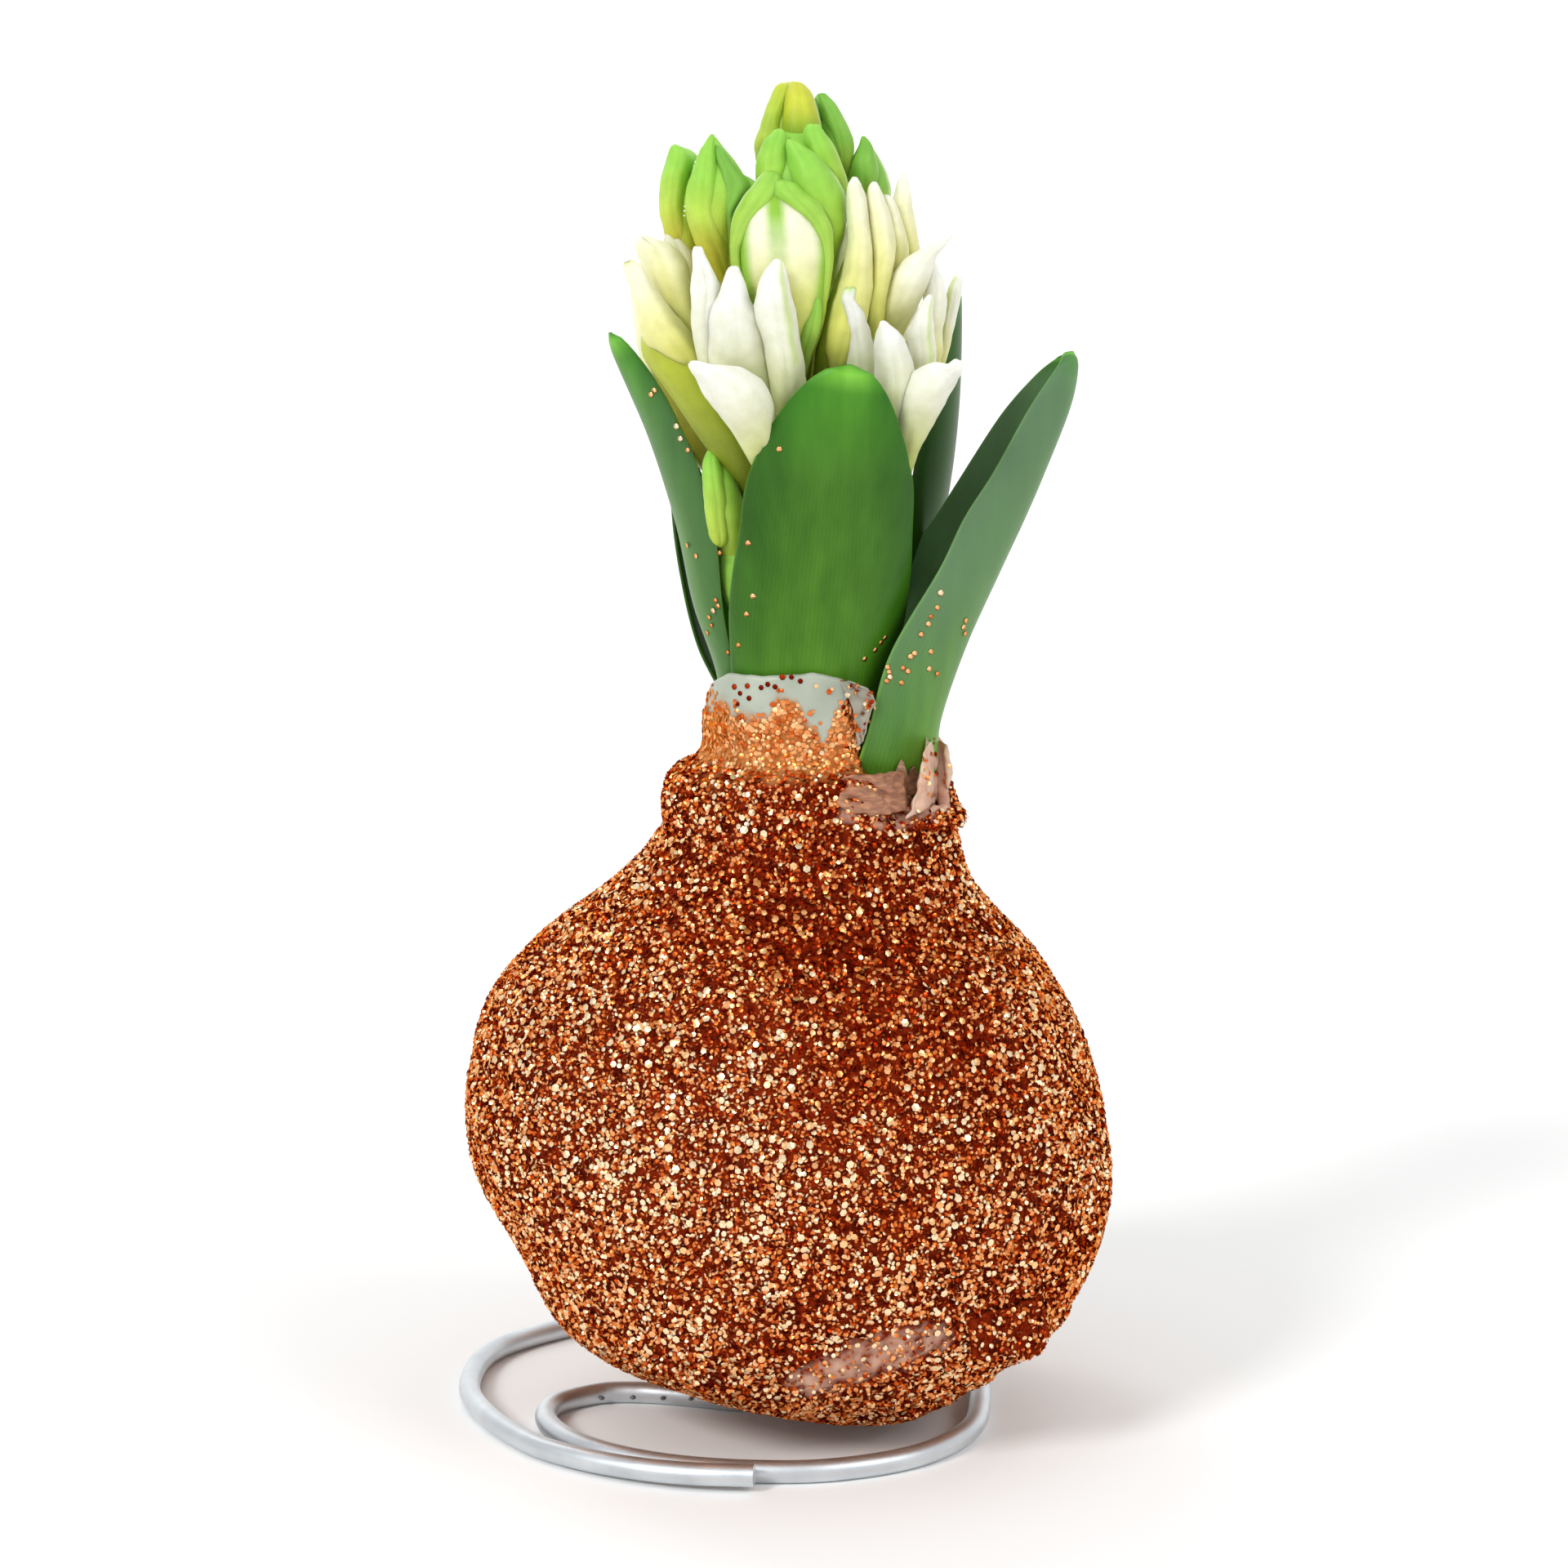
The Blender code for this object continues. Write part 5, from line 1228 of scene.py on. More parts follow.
def pressed(points, name):
    """Draws points in towards their floret's axis, so that each stays on its side of every border.

    A border stands between two florets at each height, nearer to the slimmer one.
    """
    points = np.array(points)
    heights = points[:, 2]

    def read(rows, columns):
        return np.stack([np.interp(heights, rows[:, 2], rows[:, k]) for k in columns], axis=1)

    here = read(SPINES[name], (0, 1, 3, 4, 5, 6))
    away = points[:, :2] - here[:, :2]
    reach = np.linalg.norm(away, axis=1) + 1e-6
    away /= reach[:, None]
    room = np.full(len(points), 1000.0)
    for other, rows in SPINES.items():
        if other == name:
            continue
        there = read(rows, (0, 1, 3, 4, 5, 6))
        towards = there[:, :2] - here[:, :2]
        distance = np.linalg.norm(towards, axis=1) + 1e-6
        towards /= distance[:, None]
        girth, their_girth = (np.hypot((one[:, 2:4] * towards).sum(axis=1), (one[:, 4:6] * towards).sum(axis=1))
                              + 0.05 for one in (here, there))
        facing = (away * towards).sum(axis=1)
        beside = (heights > rows[0, 2]) & (heights < rows[-1, 2] + 1.5) & (facing > 0.02)
        ahead = (distance * girth / (girth + their_girth) - PRESS_CLEARANCE) / np.maximum(facing, 0.02)
        room = np.where(beside, np.minimum(room, ahead), room)
    room = np.maximum(room, 0.5)
    knee = PRESS_KNEE * room
    squeezed = knee + (room - knee) * (1 - np.exp(np.minimum(knee - reach, 0) / (room - knee)))
    points[:, :2] = here[:, :2] + away * np.where(reach > knee, squeezed, reach)[:, None]
    return points


# %% [markdown]
# A tepal's form is a short table: how far along the floret's axis it is, how far out from it, how
# wide and how flat. An open tepal spreads, a curled one turns right over, and a bud's bends to a point.


# %% Tepals
TEPAL_FORMS = {   # along the axis, out from the axis, half width, how much flatter than the tube
    "upright": [(0.0, .14, .09, 1), (0.10, .34, .19, 1), (0.22, .60, .33, 1), (0.36, .82, .45, 1.0),
                (0.50, .94, .53, 1.05), (0.64, 1.00, .58, 1.2), (0.78, 1.03, .58, 1.4), (0.89, 1.04, .48, 1.5),
                (0.96, 1.04, .28, 1.5), (1.0, 1.04, .04, 1.5)],
    "curled": [(0.0, .14, .09, 1), (0.10, .34, .19, 1), (0.22, .60, .34, 1), (0.33, .82, .50, 1.0),
               (0.42, .97, .64, 1.1), (0.51, 1.10, .74, 1.3), (0.59, 1.25, .72, 1.5), (0.65, 1.40, .58, 1.7),
               (0.68, 1.51, .32, 1.7), (0.685, 1.58, .04, 1.7)],
    "folded": [(0.0, .16, .10, 1), (0.12, .40, .23, 1), (0.26, .68, .38, 1), (0.40, .86, .46, 1.0),
               (0.54, .95, .48, 0.9), (0.68, .98, .45, 0.8), (0.82, .97, .40, 0.8), (0.92, .93, .31, 0.8),
               (0.98, .90, .16, 0.8), (1.0, .89, .03, 0.8)],
    "closed": [(0.0, .10, .10, 1), (0.05, .26, .26, 1), (0.15, .47, .48, 1), (0.32, .80, .82, 1),
               (0.53, 1.0, 1.04, 1.08), (0.74, .90, .90, 1.12), (0.88, .59, .52, 1.1), (0.96, .28, .22, 1),
               (1.0, .05, .03, 1)],
}
TEPAL_WAVE = {"upright": 0.30, "curled": 0.30, "folded": 0.22, "closed": 0.07}    # how uneven a tepal is
TEPAL_ROWS = 34
TEPAL_COLUMNS = 13
TEPAL_THICKNESS = 0.8


def tepal(name, angle, form, size, length, width, sweep):
    """The middle surface of one tepal at an angle round its floret's axis, from foot to tip.

    sweep is how many degrees it wanders round the axis on its way to the tip.
    """
    _, tier, azimuth, height, tip, half_width, half_depth = FLORETS[name]
    at = floret_frame(tier, azimuth, height, tip)
    rows = through(TEPAL_FORMS[form], TEPAL_ROWS)
    middle, sides, tubes, curves = [], [], [], []
    for k, (along, out_share, _, _) in enumerate(rows):
        a = math.radians(angle + sweep * (k / (TEPAL_ROWS - 1)) ** 1.5)
        bend = math.hypot(half_depth * math.sin(a), half_width * math.cos(a))
        curves.append(bend ** 3 / (half_depth * half_width))
        share = along * length if along > 0.4 else along * (1 + (length - 1) * along / 0.4)
        point, out, side = at(share)
        middle.append(point + size * out_share * (half_depth * math.cos(a) * out + half_width * math.sin(a) * side))
        sides.append(unit(half_width * math.cos(a) * side - half_depth * math.sin(a) * out))
        tubes.append(unit(half_depth * math.cos(a) * out + half_width * math.sin(a) * side))
    middle, sides, tubes = np.array(middle), np.array(sides), np.array(tubes)
    tangents = unit(np.gradient(middle, axis=0))
    across = -np.cos(np.linspace(0, math.pi, TEPAL_COLUMNS))
    grid = []
    for k, (_, out_share, wide, flat) in enumerate(rows):
        outward = unit(np.cross(sides[k], tangents[k]))
        outward *= 1 if outward.dot(tubes[k]) >= 0 or out_share > 1.2 else -1
        radius = max(curves[k] * out_share * size * flat, 0.4)
        half = max(wide, 0.02) * size * width * (half_width + half_depth) / 2
        turns = min(half / radius, 1.5) * across
        grid.append(middle[k] + radius * np.sin(turns)[:, None] * sides[k]
                    - radius * (1 - np.cos(turns))[:, None] * outward)
    grid = np.array(grid)
    waves = [[[ripple(p, 3.2, k + angle) for k in (0, 7, 14)] for p in line] for line in grid]
    return grid + TEPAL_WAVE[form] * np.array(waves), across


# %% [markdown]
# Real tepals change colour from foot to tip, and on a bud from rib to edge. So each kind has a small
# painter that gives a tint from two numbers, along and across, and the shader adds veins and gloss.


# %% Tepal tints
def blend_stops(value, stops):
    """Linear colours read from (position, hex) stops at an array of values."""
    positions = [p for p, _ in stops]
    colours = np.array([linear(c) for _, c in stops])
    return np.stack([np.interp(value, positions, colours[:, k]) for k in range(4)], axis=-1)


def turned(base, colour, share):
    return base + (np.array(linear(colour)) - base) * np.clip(share, 0, 1)[..., None]


def tint(kind, along, across, role):
    edge = np.abs(across)
    if kind == "open":
        base = blend_stops(along, [(0, "#A9B546"), (.16, "#D3DA96"), (.34, "#E9EAD0"), (.6, "#F3F3EA"), (1, "#F4F4EC")])
        if role == "green tip":
            base = turned(base, "#A9D455", (along - 0.76) * 6 * (edge < 0.8) * (along < 0.94))
        if role == "green edge":
            base = turned(base, "#BFD873", 0.7 * np.exp(-((across - 0.5) / 0.16) ** 2) * (along > 0.3))
        return base
    if kind == "half":
        base = blend_stops(along, [(0, "#C3C64C"), (.2, "#DDDC74"), (.4, "#EEEAA6"), (.62, "#F4F1CC"), (1, "#F7F6E4")])
        if role == "tube":
            base = blend_stops(along, [(0, "#68761A"), (.35, "#8C9A24"), (.62, "#AFBA34"), (1, "#C6D060")])
        if role == "cream":
            base = turned(base, "#D9DC74", 0.55 * np.exp(-((across + 0.15) / 0.22) ** 2) * (1 - along))
        if role in ("white", "green edge"):
            base = blend_stops(along, [(0, "#B9BD58"), (.2, "#E2DF9E"), (.45, "#F1F0DE"), (1, "#F5F5EE")])
        if role == "green edge":
            base = turned(base, "#C4DB7A", 0.7 * np.exp(-((across + 0.5) / 0.2) ** 2))
        if role == "green tip":
            base = turned(base, "#9CC04F", (along - 0.84) * 6)
            base = turned(base, "#9A5B3A", (along - 0.965) * 30)
        return base
    if role == "window":
        base = blend_stops(along, [(0, "#A9B23C"), (.16, "#C3CC4C"), (.34, "#DDE07E"), (.5, "#F3F1D4"), (1, "#F5F4DE")])
        rib = np.clip(1.7 - np.abs(across + 0.12) / (0.06 + 0.2 * along), 0, 1) * np.clip((along - 0.38) * 4, 0, 1)
        base = turned(base, "#8FC238", rib)
        return turned(base, "#9CCB48", np.clip((edge - 0.66) * 6, 0, 1) + np.clip((along - 0.80) * 9, 0, 1))
    if role == "yellow foot":
        return blend_stops(along, [(0, "#D4CC3E"), (.18, "#D3D048"), (.36, "#B9D64E"), (.6, "#97D04A"), (1, "#92CE4C")])
    if role == "green":
        base = blend_stops(along, [(0, "#B7C944"), (.3, "#AAD054"), (.7, "#9CCF4E"), (1, "#8FC94C")])
        return turned(base, "#D6ECAC", (edge - 0.82) * 6)
    base = blend_stops(along, [(0, "#B4CF48"), (.2, "#A8D04A"), (.42, "#9ACF4B"), (.7, "#8FCE4B"), (1, "#9AD455")])
    if role == "yellow":
        base = blend_stops(along, [(0, "#CDD45A"), (.4, "#AECB45"), (.8, "#BBCB3C"), (1, "#C6CB44")])
    # painted shade: the sheet is darker olive at its foot
    if role == "olive_shaded_foot":
        base = blend_stops(along, [(0, "#6F8F22"), (.28, "#94B22E"), (.45, "#C6CF3E"), (.8, "#CACB40"), (1, "#C6CB44")])
    if role == "deep":
        base = blend_stops(along, [(0, "#B9C94F"), (.3, "#86BE48"), (1, "#73B043")])
    return turned(base, "#D2EBA6", (edge - 0.84) * 6)


def tepal_flesh(name, weight):
    """Fleshy tepal: light soaks in and comes out again; a faint sheen from its waxy cells."""
    made, tree, sockets = new_material(name, Roughness=0.5, Specular_IOR_Level=0.3, Subsurface_Weight=weight,
                                       Subsurface_Radius=(1.0, 0.96, 0.82), Subsurface_Scale=0.0016)
    painted = add_node(tree, FIELD, attribute_name="tint").outputs["Color"]
    across = add_node(tree, FIELD, attribute_name="across").outputs["Fac"]
    wander = add_node(tree, MATHS, {0: grain(tree, 4.0), 1: 3.0, 2: across}, operation="MULTIPLY_ADD").outputs[0]
    lines = add_node(tree, MATHS, {0: wander, 1: 26.0}, operation="MULTIPLY").outputs[0]
    lines = add_node(tree, MATHS, {0: lines}, operation="SINE").outputs[0]
    mottle = add_node(tree, RAMP, {"Fac": grain(tree, 2.2, 4)}, [(0.3, "#EDEDE6"), (0.7, "#FFFFFF")]).outputs[0]
    colour = add_node(tree, MIX, {0: 1.0, 6: painted, 7: mottle}, data_type="RGBA",
                      blend_type="MULTIPLY").outputs[2]
    veins = add_node(tree, BUMP, {"Height": lines, "Strength": 0.12, "Distance": 0.06 * MM}).outputs[0]
    plug(tree, sockets, Base_Color=colour, Normal=veins)
    return made

TEPALS = {"open": tepal_flesh("white hyacinth tepal", 0.6), "half": tepal_flesh("cream hyacinth tepal", 0.5),
          "bud": tepal_flesh("green hyacinth bud", 0.25)}
SLOTS = {"open": "white_petal", "half": "cream_petal", "bud": "bud", "small": "bud"}
print("tepal materials:", [m.name for m in TEPALS.values()])


# %% [markdown]
# The tepals that face the reader were bent and squeezed each in its own way, so they are drawn by
# outline and depth, from foot to tip. A sheet's row gives its two edges, the depth of its middle and
# how far the edges lie behind it; a core is closed, and its last number is half its depth.


# %% Tepals drawn by outline
DRAWN = {   # floret: role, kind, rows of left edge, right edge, depth, bulge
    "floret_white_front_left": [
        ("plain", "sheet", [
            (900, 545, 920, 550, -11, 1), (868, 482, 900, 488, -13.5, 1), (852, 434, 884, 438, -15, 1),
            (846, 392, 881, 394, -16, .9), (846, 350, 882, 352, -16.5, .7), (848, 320, 868, 322, -16.5, .5),
            (849, 304, 859, 304, -16.4, .2), (852, 301, 856, 301, -16.4, .1)]),
        ("plain", "sheet", [
            (925, 548, 955, 552, -11, 1), (885, 502, 948, 506, -15, 2), (869, 452, 943, 456, -17.3, 2.5),
            (866, 418, 939, 418, -18.2, 2.8), (867, 390, 934, 391, -18.5, 2.8), (876, 367, 919, 369, -18.3, 1.8),
            (886, 346, 912, 346, -18, 1), (893, 331, 905, 331, -17.6, .5), (897, 327, 901, 327, -17.5, .2)]),
        ("green edge", "sheet", [
            (950, 562, 975, 556, -11, 1), (946, 512, 986, 502, -14.5, 2), (942, 466, 986, 460, -17.4, 2.3),
            (935, 420, 981, 420, -19, 2.3), (925, 386, 976, 385, -19.6, 2.2), (925, 362, 970, 360, -19.6, 2),
            (934, 338, 964, 338, -19.2, 1.2), (945, 321, 958, 321, -18.6, .5), (950, 316, 954, 316, -18.5, .2)]),
        ("plain", "sheet", [
            (938, 592, 950, 590, -12, .4), (918, 564, 951, 548, -16.4, 1.6), (899, 533, 951, 514, -19, 2.6),
            (880, 508, 946, 487, -20.8, 3), (866, 489, 930, 463, -21.6, 2.8), (856, 471, 905, 450, -22, 2.2),
            (849, 458, 878, 447, -22.2, 1.3), (845, 449, 857, 443, -22.2, .5), (844, 445, 847, 442, -22.2, .2)]),
    ],
    "floret_white_front_right": [
        ("green tip", "sheet", [
            (1040, 545, 1062, 550, -9, .8), (1036, 482, 1074, 487, -12.5, 1.5), (1034, 442, 1072, 444, -14, 1.8),
            (1033, 408, 1066, 409, -14.8, 1.6), (1032, 386, 1058, 386, -15.2, 1.2), (1032, 367, 1048, 367, -15.2, .7),
            (1036, 355, 1050, 355, -15.1, .4), (1040, 351, 1046, 351, -15, .2)]),
        ("plain", "sheet", [
            (1085, 560, 1108, 565, -10, .8), (1078, 514, 1120, 518, -13.6, 1.8), (1072, 472, 1122, 474, -15.8, 2.2),
            (1070, 442, 1118, 441, -16.8, 2.2), (1071, 419, 1110, 421, -17.2, 1.9), (1074, 405, 1101, 408, -17.2, 1.2),
            (1078, 396, 1089, 398, -17, .5), (1081, 393, 1084, 393, -16.9, .2)]),
        ("green edge", "sheet", [
            (1105, 542, 1125, 542, -8, .8), (1112, 490, 1142, 486, -10.5, 1.4), (1113, 440, 1147, 440, -12.5, 1.6),
            (1110, 409, 1144, 410, -13.2, 1.4), (1121, 386, 1142, 387, -13.4, .8), (1132, 368, 1141, 368, -13.4, .4),
            (1137, 361, 1140, 361, -13.4, .2)]),
        ("plain", "sheet", [
            (1098, 590, 1110, 596, -9, .4), (1095, 546, 1126, 551, -12, 1.6), (1094, 505, 1143, 519, -14.8, 2.4),
            (1104, 472, 1157, 496, -16.6, 2.6), (1122, 454, 1167, 477, -17.6, 2.2), (1142, 444, 1173, 464, -18, 1.6),
            (1159, 447, 1178, 456, -18.3, .8), (1168, 442, 1179, 449, -18.5, .4), (1172, 441, 1177, 443, -18.5, .2)]),
    ],
    "floret_cream_right": [
        ("white", "sheet", [
            (1078, 442, 1100, 447, -6, .8), (1074, 401, 1105, 410, -9.4, 1.6), (1078, 373, 1122, 378, -12, 2.4),
            (1088, 344, 1136, 349, -13.2, 2.6), (1106, 320, 1143, 328, -13.4, 2), (1128, 306, 1148, 314, -13, 1),
            (1145, 298, 1156, 302, -12.6, .5), (1157, 285, 1166, 289, -12.4, .3), (1167, 277, 1171, 280, -12.4, .2)]),
        ("white", "sheet", [
            (1118, 475, 1140, 478, -5, .8), (1127, 432, 1152, 436, -8.4, 1.2), (1129, 396, 1155, 399, -10, 1.4),
            (1130, 366, 1159, 368, -10.8, 1.2), (1134, 345, 1153, 346, -11, .8), (1138, 328, 1146, 328, -11, .4),
            (1140, 319, 1143, 319, -11, .2)]),
        ("green edge", "sheet", [
            (1136, 480, 1148, 482, -2, .5), (1150, 441, 1157, 443, -4.6, .6), (1153, 406, 1166, 409, -6, .8),
            (1157, 378, 1172, 380, -6.6, .8), (1161, 355, 1177, 357, -7, .6), (1167, 341, 1178, 343, -7, .3),
            (1171, 337, 1176, 338, -7, .2)]),
    ],
    "floret_cream_front_right": [
        ("tube", "core", [
            (1004, 520, 1020, 520, -5, 1), (996, 490, 1032, 492, -8, 2), (996, 455, 1038, 457, -10, 2.4),
            (1000, 420, 1050, 422, -10.8, 2.6), (1008, 385, 1068, 387, -11, 2.6), (1022, 345, 1078, 346, -10.8, 2.4),
            (1036, 310, 1086, 312, -10.2, 2.2), (1044, 285, 1084, 287, -9.8, 1.4), (1056, 274, 1070, 275, -9.6, .6)]),
        ("cream", "sheet", [
            (1008, 470, 1030, 474, -11, 1), (1010, 420, 1052, 423, -14.4, 1.6), (1020, 370, 1066, 374, -15, 2.4),
            (1032, 330, 1069, 333, -15, 3), (1037, 295, 1068, 297, -14.6, 2.6), (1037, 265, 1064, 267, -14.2, 2.4),
            (1037, 243, 1060, 245, -13.8, 2), (1039, 226, 1054, 227, -13.4, 1.2), (1044, 217, 1049, 217, -13.2, .3)]),
        ("cream", "sheet", [
            (1052, 430, 1068, 434, -10, 1), (1058, 392, 1082, 394, -12.2, 1.8), (1065, 350, 1088, 352, -13.2, 2.2),
            (1067, 312, 1097, 314, -13.4, 2.4), (1063, 278, 1094, 280, -13, 2.2), (1061, 250, 1085, 251, -12.6, 1.8),
            (1064, 231, 1078, 232, -12.2, 1), (1068, 223, 1073, 223, -12, .3)]),
        ("cream", "sheet", [
            (1078, 400, 1096, 404, -6, 1), (1086, 350, 1110, 352, -9.4, 1.6), (1086, 305, 1112, 308, -10.6, 1.8),
            (1081, 268, 1104, 270, -10.8, 1.6), (1082, 248, 1094, 249, -10.6, .9), (1084, 239, 1088, 240, -10.4, .3)]),
        ("cream", "sheet", [
            (1090, 392, 1106, 396, -3, 1), (1098, 340, 1128, 343, -7, 1.6), (1096, 296, 1125, 298, -8.6, 1.8),
            (1091, 258, 1118, 260, -9, 1.6), (1097, 230, 1114, 231, -8.8, .9), (1104, 211, 1109, 211, -8.6, .3)]),
    ],
    "floret_cream_left": [
        ("tube", "core", [
            (922, 632, 950, 612, -5, 1.4), (902, 600, 948, 582, -7, 3), (872, 560, 926, 538, -8.6, 4),
            (842, 516, 896, 490, -9.4, 4.4), (812, 472, 868, 444, -9.6, 4.4), (788, 438, 842, 404, -9.2, 4.2),
            (785, 410, 828, 372, -8.4, 3.4), (792, 384, 818, 354, -7.6, 1.6)]),
        ("green tip", "sheet", [
            (852, 486, 878, 478, -10.6, .8), (826, 455, 866, 442, -13.4, 2), (803, 434, 848, 410, -14.4, 2.4),
            (785, 410, 830, 388, -14.6, 2.4), (779, 383, 813, 368, -14.2, 2), (773, 358, 800, 350, -13.8, 1.4),
            (766, 339, 790, 331, -13.4, .8), (762, 327, 778, 320, -13.2, .4), (764, 321, 772, 318, -13.2, .2)]),
        ("cream", "sheet", [
            (850, 470, 872, 462, -7, 1), (832, 432, 866, 420, -9.6, 2), (812, 388, 854, 374, -10.8, 2.4),
            (797, 352, 846, 344, -11.2, 2.4), (785, 322, 838, 318, -11, 2), (778, 301, 822, 301, -10.6, 1.2),
            (779, 290, 798, 291, -10.4, .5), (782, 287, 787, 287, -10.4, .2)]),
        ("cream", "sheet", [
            (840, 440, 862, 436, -4, 1), (836, 390, 864, 384, -7.6, 1.6), (826, 345, 858, 342, -8.6, 1.8),
            (816, 312, 850, 310, -8.6, 1.4), (814, 292, 836, 292, -8.4, .8), (820, 284, 826, 284, -8.2, .3)]),
    ],
    "bud_striped_front": [
        ("window", "core", [
            (978, 466, 988, 467, -9, .8), (958, 440, 992, 441, -10.8, 2.4), (928, 400, 1003, 401, -12, 3.4),
            (908, 350, 1014, 351, -12.6, 4), (901, 300, 1018, 300, -12.4, 4), (905, 262, 1006, 262, -11.8, 3.6),
            (918, 238, 986, 238, -11.2, 2.8), (936, 221, 968, 221, -10.8, 1.6), (949, 214, 956, 214, -10.6, .3)]),
        ("green", "thin", [
            (920, 412, 924, 414, -12.4, .3), (903, 360, 914, 362, -14.3, .7), (894, 306, 907, 308, -14.4, .9),
            (897, 270, 926, 276, -14.5, 1.2), (908, 243, 949, 252, -14.6, 1.3), (922, 224, 958, 236, -13.9, 1.1),
            (934, 213, 960, 224, -13, .6), (946, 209, 954, 213, -12.4, .2)]),
        ("green", "thin", [
            (985, 446, 990, 447, -11.2, .3), (999, 404, 1005, 405, -13, .5), (1004, 352, 1016, 353, -14.4, .7),
            (1005, 310, 1021, 310, -14.6, .9), (990, 276, 1017, 277, -15.1, 1.2), (966, 256, 1008, 256, -15.4, 1.5),
            (950, 240, 994, 240, -15.2, 1.4), (947, 226, 978, 226, -14.2, .9), (957, 220, 967, 220, -13.4, .2)]),
        ("green", "thin", [
            (978, 462, 986, 463, -10.4, .3), (974, 436, 992, 436, -13.2, .5), (978, 410, 1001, 408, -15, .7),
            (987, 384, 1005, 380, -15, .6), (994, 366, 1001, 364, -15, .2)]),
    ],
    "bud_green_left_front": [
        ("yellow foot", "core", [
            (882, 345, 898, 342, -7, 1), (863, 315, 899, 312, -8.5, 2.6), (848, 285, 899, 282, -9.4, 3.4),
            (842, 255, 902, 255, -9.6, 3.8), (845, 225, 914, 225, -9.2, 3.6), (853, 200, 902, 200, -8.6, 3),
            (863, 180, 886, 180, -8, 1.8), (872, 168, 877, 168, -7.6, .3)]),
        ("yellow foot", "sheet", [
            (876, 341, 899, 332, -9.4, 1), (858, 309, 897, 301, -11.6, 1.8), (845, 281, 888, 282, -13, 2.2),
            (839, 252, 883, 255, -13.6, 2.4), (842, 225, 880, 226, -13.4, 2.2), (851, 200, 878, 202, -12.6, 1.6),
            (861, 180, 875, 182, -11.6, .8), (870, 165, 874, 166, -10.8, .2)]),
        ("deep", "sheet", [
            (890, 322, 899, 324, -10, .6), (886, 286, 900, 284, -11.6, 1), (882, 256, 903, 256, -12.6, 1.4),
            (879, 229, 919, 229, -12.8, 2), (877, 205, 903, 206, -12.2, 1.5), (875, 189, 891, 190, -11.4, .8),
            (876, 178, 882, 180, -10.8, .2)]),
    ],
    "bud_green_left": [
        ("yellow foot", "core", [
            (850, 350, 868, 345, -3, 1.5), (828, 318, 862, 314, -4.5, 3), (814, 285, 858, 283, -5.2, 3.6),
            (809, 250, 854, 250, -5.4, 3.8), (811, 220, 854, 218, -5, 3.6), (817, 197, 856, 196, -4.4, 2.8),
            (825, 183, 848, 185, -4, 1.6), (830, 178, 836, 180, -3.8, .3)]),
        ("yellow foot", "sheet", [
            (830, 325, 850, 320, -6.8, 1), (815, 291, 847, 287, -8.6, 1.8), (807, 256, 842, 252, -9.8, 2.4),
            (809, 222, 844, 218, -9.6, 2.4), (816, 196, 848, 196, -8.8, 1.8), (822, 182, 840, 186, -8, .9),
            (827, 176, 832, 178, -7.4, .2)]),
    ],
    "bud_green_front": [
        ("plain", "core", [
            (1010, 345, 1026, 340, -5, 1), (990, 312, 1030, 306, -7, 3), (960, 272, 1034, 272, -8.4, 4),
            (934, 238, 1036, 238, -8.6, 4.2), (927, 206, 1032, 206, -8, 4), (934, 180, 1018, 180, -7, 3),
            (950, 164, 1004, 164, -6.4, 1.8), (972, 157, 988, 156, -6, .4)]),
        ("plain", "sheet", [
            (930, 258, 962, 262, -10.6, 1), (925, 226, 966, 229, -12.2, 2), (926, 200, 967, 201, -12.2, 2),
            (933, 176, 966, 177, -11.2, 1.5), (944, 162, 963, 166, -10.2, .8), (952, 157, 958, 158, -9.6, .2)]),
        ("plain", "sheet", [
            (1012, 327, 1024, 320, -10, .8), (996, 286, 1034, 281, -12.6, 2), (976, 251, 1036, 248, -14, 2.9),
            (965, 223, 1027, 222, -14.2, 2.9), (964, 198, 1011, 200, -13.4, 2.3), (964, 180, 990, 183, -12.2, 1.2),
            (965, 170, 971, 171, -11.4, .2)]),
        ("plain", "sheet", [
            (1016, 252, 1037, 249, -8.8, 1), (1002, 216, 1036, 218, -10.6, 1.7), (989, 186, 1025, 188, -11, 1.9),
            (983, 166, 1014, 168, -10.4, 1.3), (987, 155, 1005, 156, -9.6, .6), (994, 152, 999, 152, -9.2, .2)]),
    ],
    "bud_apex": [
        ("yellow", "core", [
            (948, 225, 990, 222, -1, 2.6), (926, 190, 1002, 188, -2.4, 3.8), (929, 160, 1006, 160, -2.8, 4),
            (939, 135, 1003, 135, -2.6, 3.6), (947, 114, 994, 116, -2.2, 2.4), (956, 104, 984, 106, -2, 1.2),
            (964, 100, 972, 101, -1.8, .3)]),
        ("yellow", "sheet", [
            (930, 215, 955, 214, -4.6, .8), (924, 182, 957, 181, -7, 1.9), (932, 152, 956, 151, -7.2, 1.7),
            (941, 125, 961, 127, -6.4, 1.3), (949, 109, 968, 112, -5.4, .7), (957, 102, 965, 103, -4.8, .2)]),
        ("olive_shaded_foot", "sheet", [
            (956, 205, 998, 202, -5.4, .8), (955, 172, 1006, 170, -7.8, 2.2), (957, 142, 1004, 142, -7.8, 2.1),
            (961, 118, 996, 119, -6.8, 1.5), (967, 105, 985, 107, -5.6, .7), (971, 100, 976, 101, -5, .2)]),
    ],
    "bud_apex_right": [
        ("deep", "core", [
            (1018, 228, 1040, 226, .6, 1.6), (1004, 192, 1044, 190, -.6, 3.2), (1000, 160, 1040, 160, -.8, 3.4),
            (997, 136, 1029, 136, -.4, 2.8), (997, 121, 1014, 121, 0, 1.4), (1001, 115, 1006, 115, .2, .3)]),
        ("deep", "sheet", [
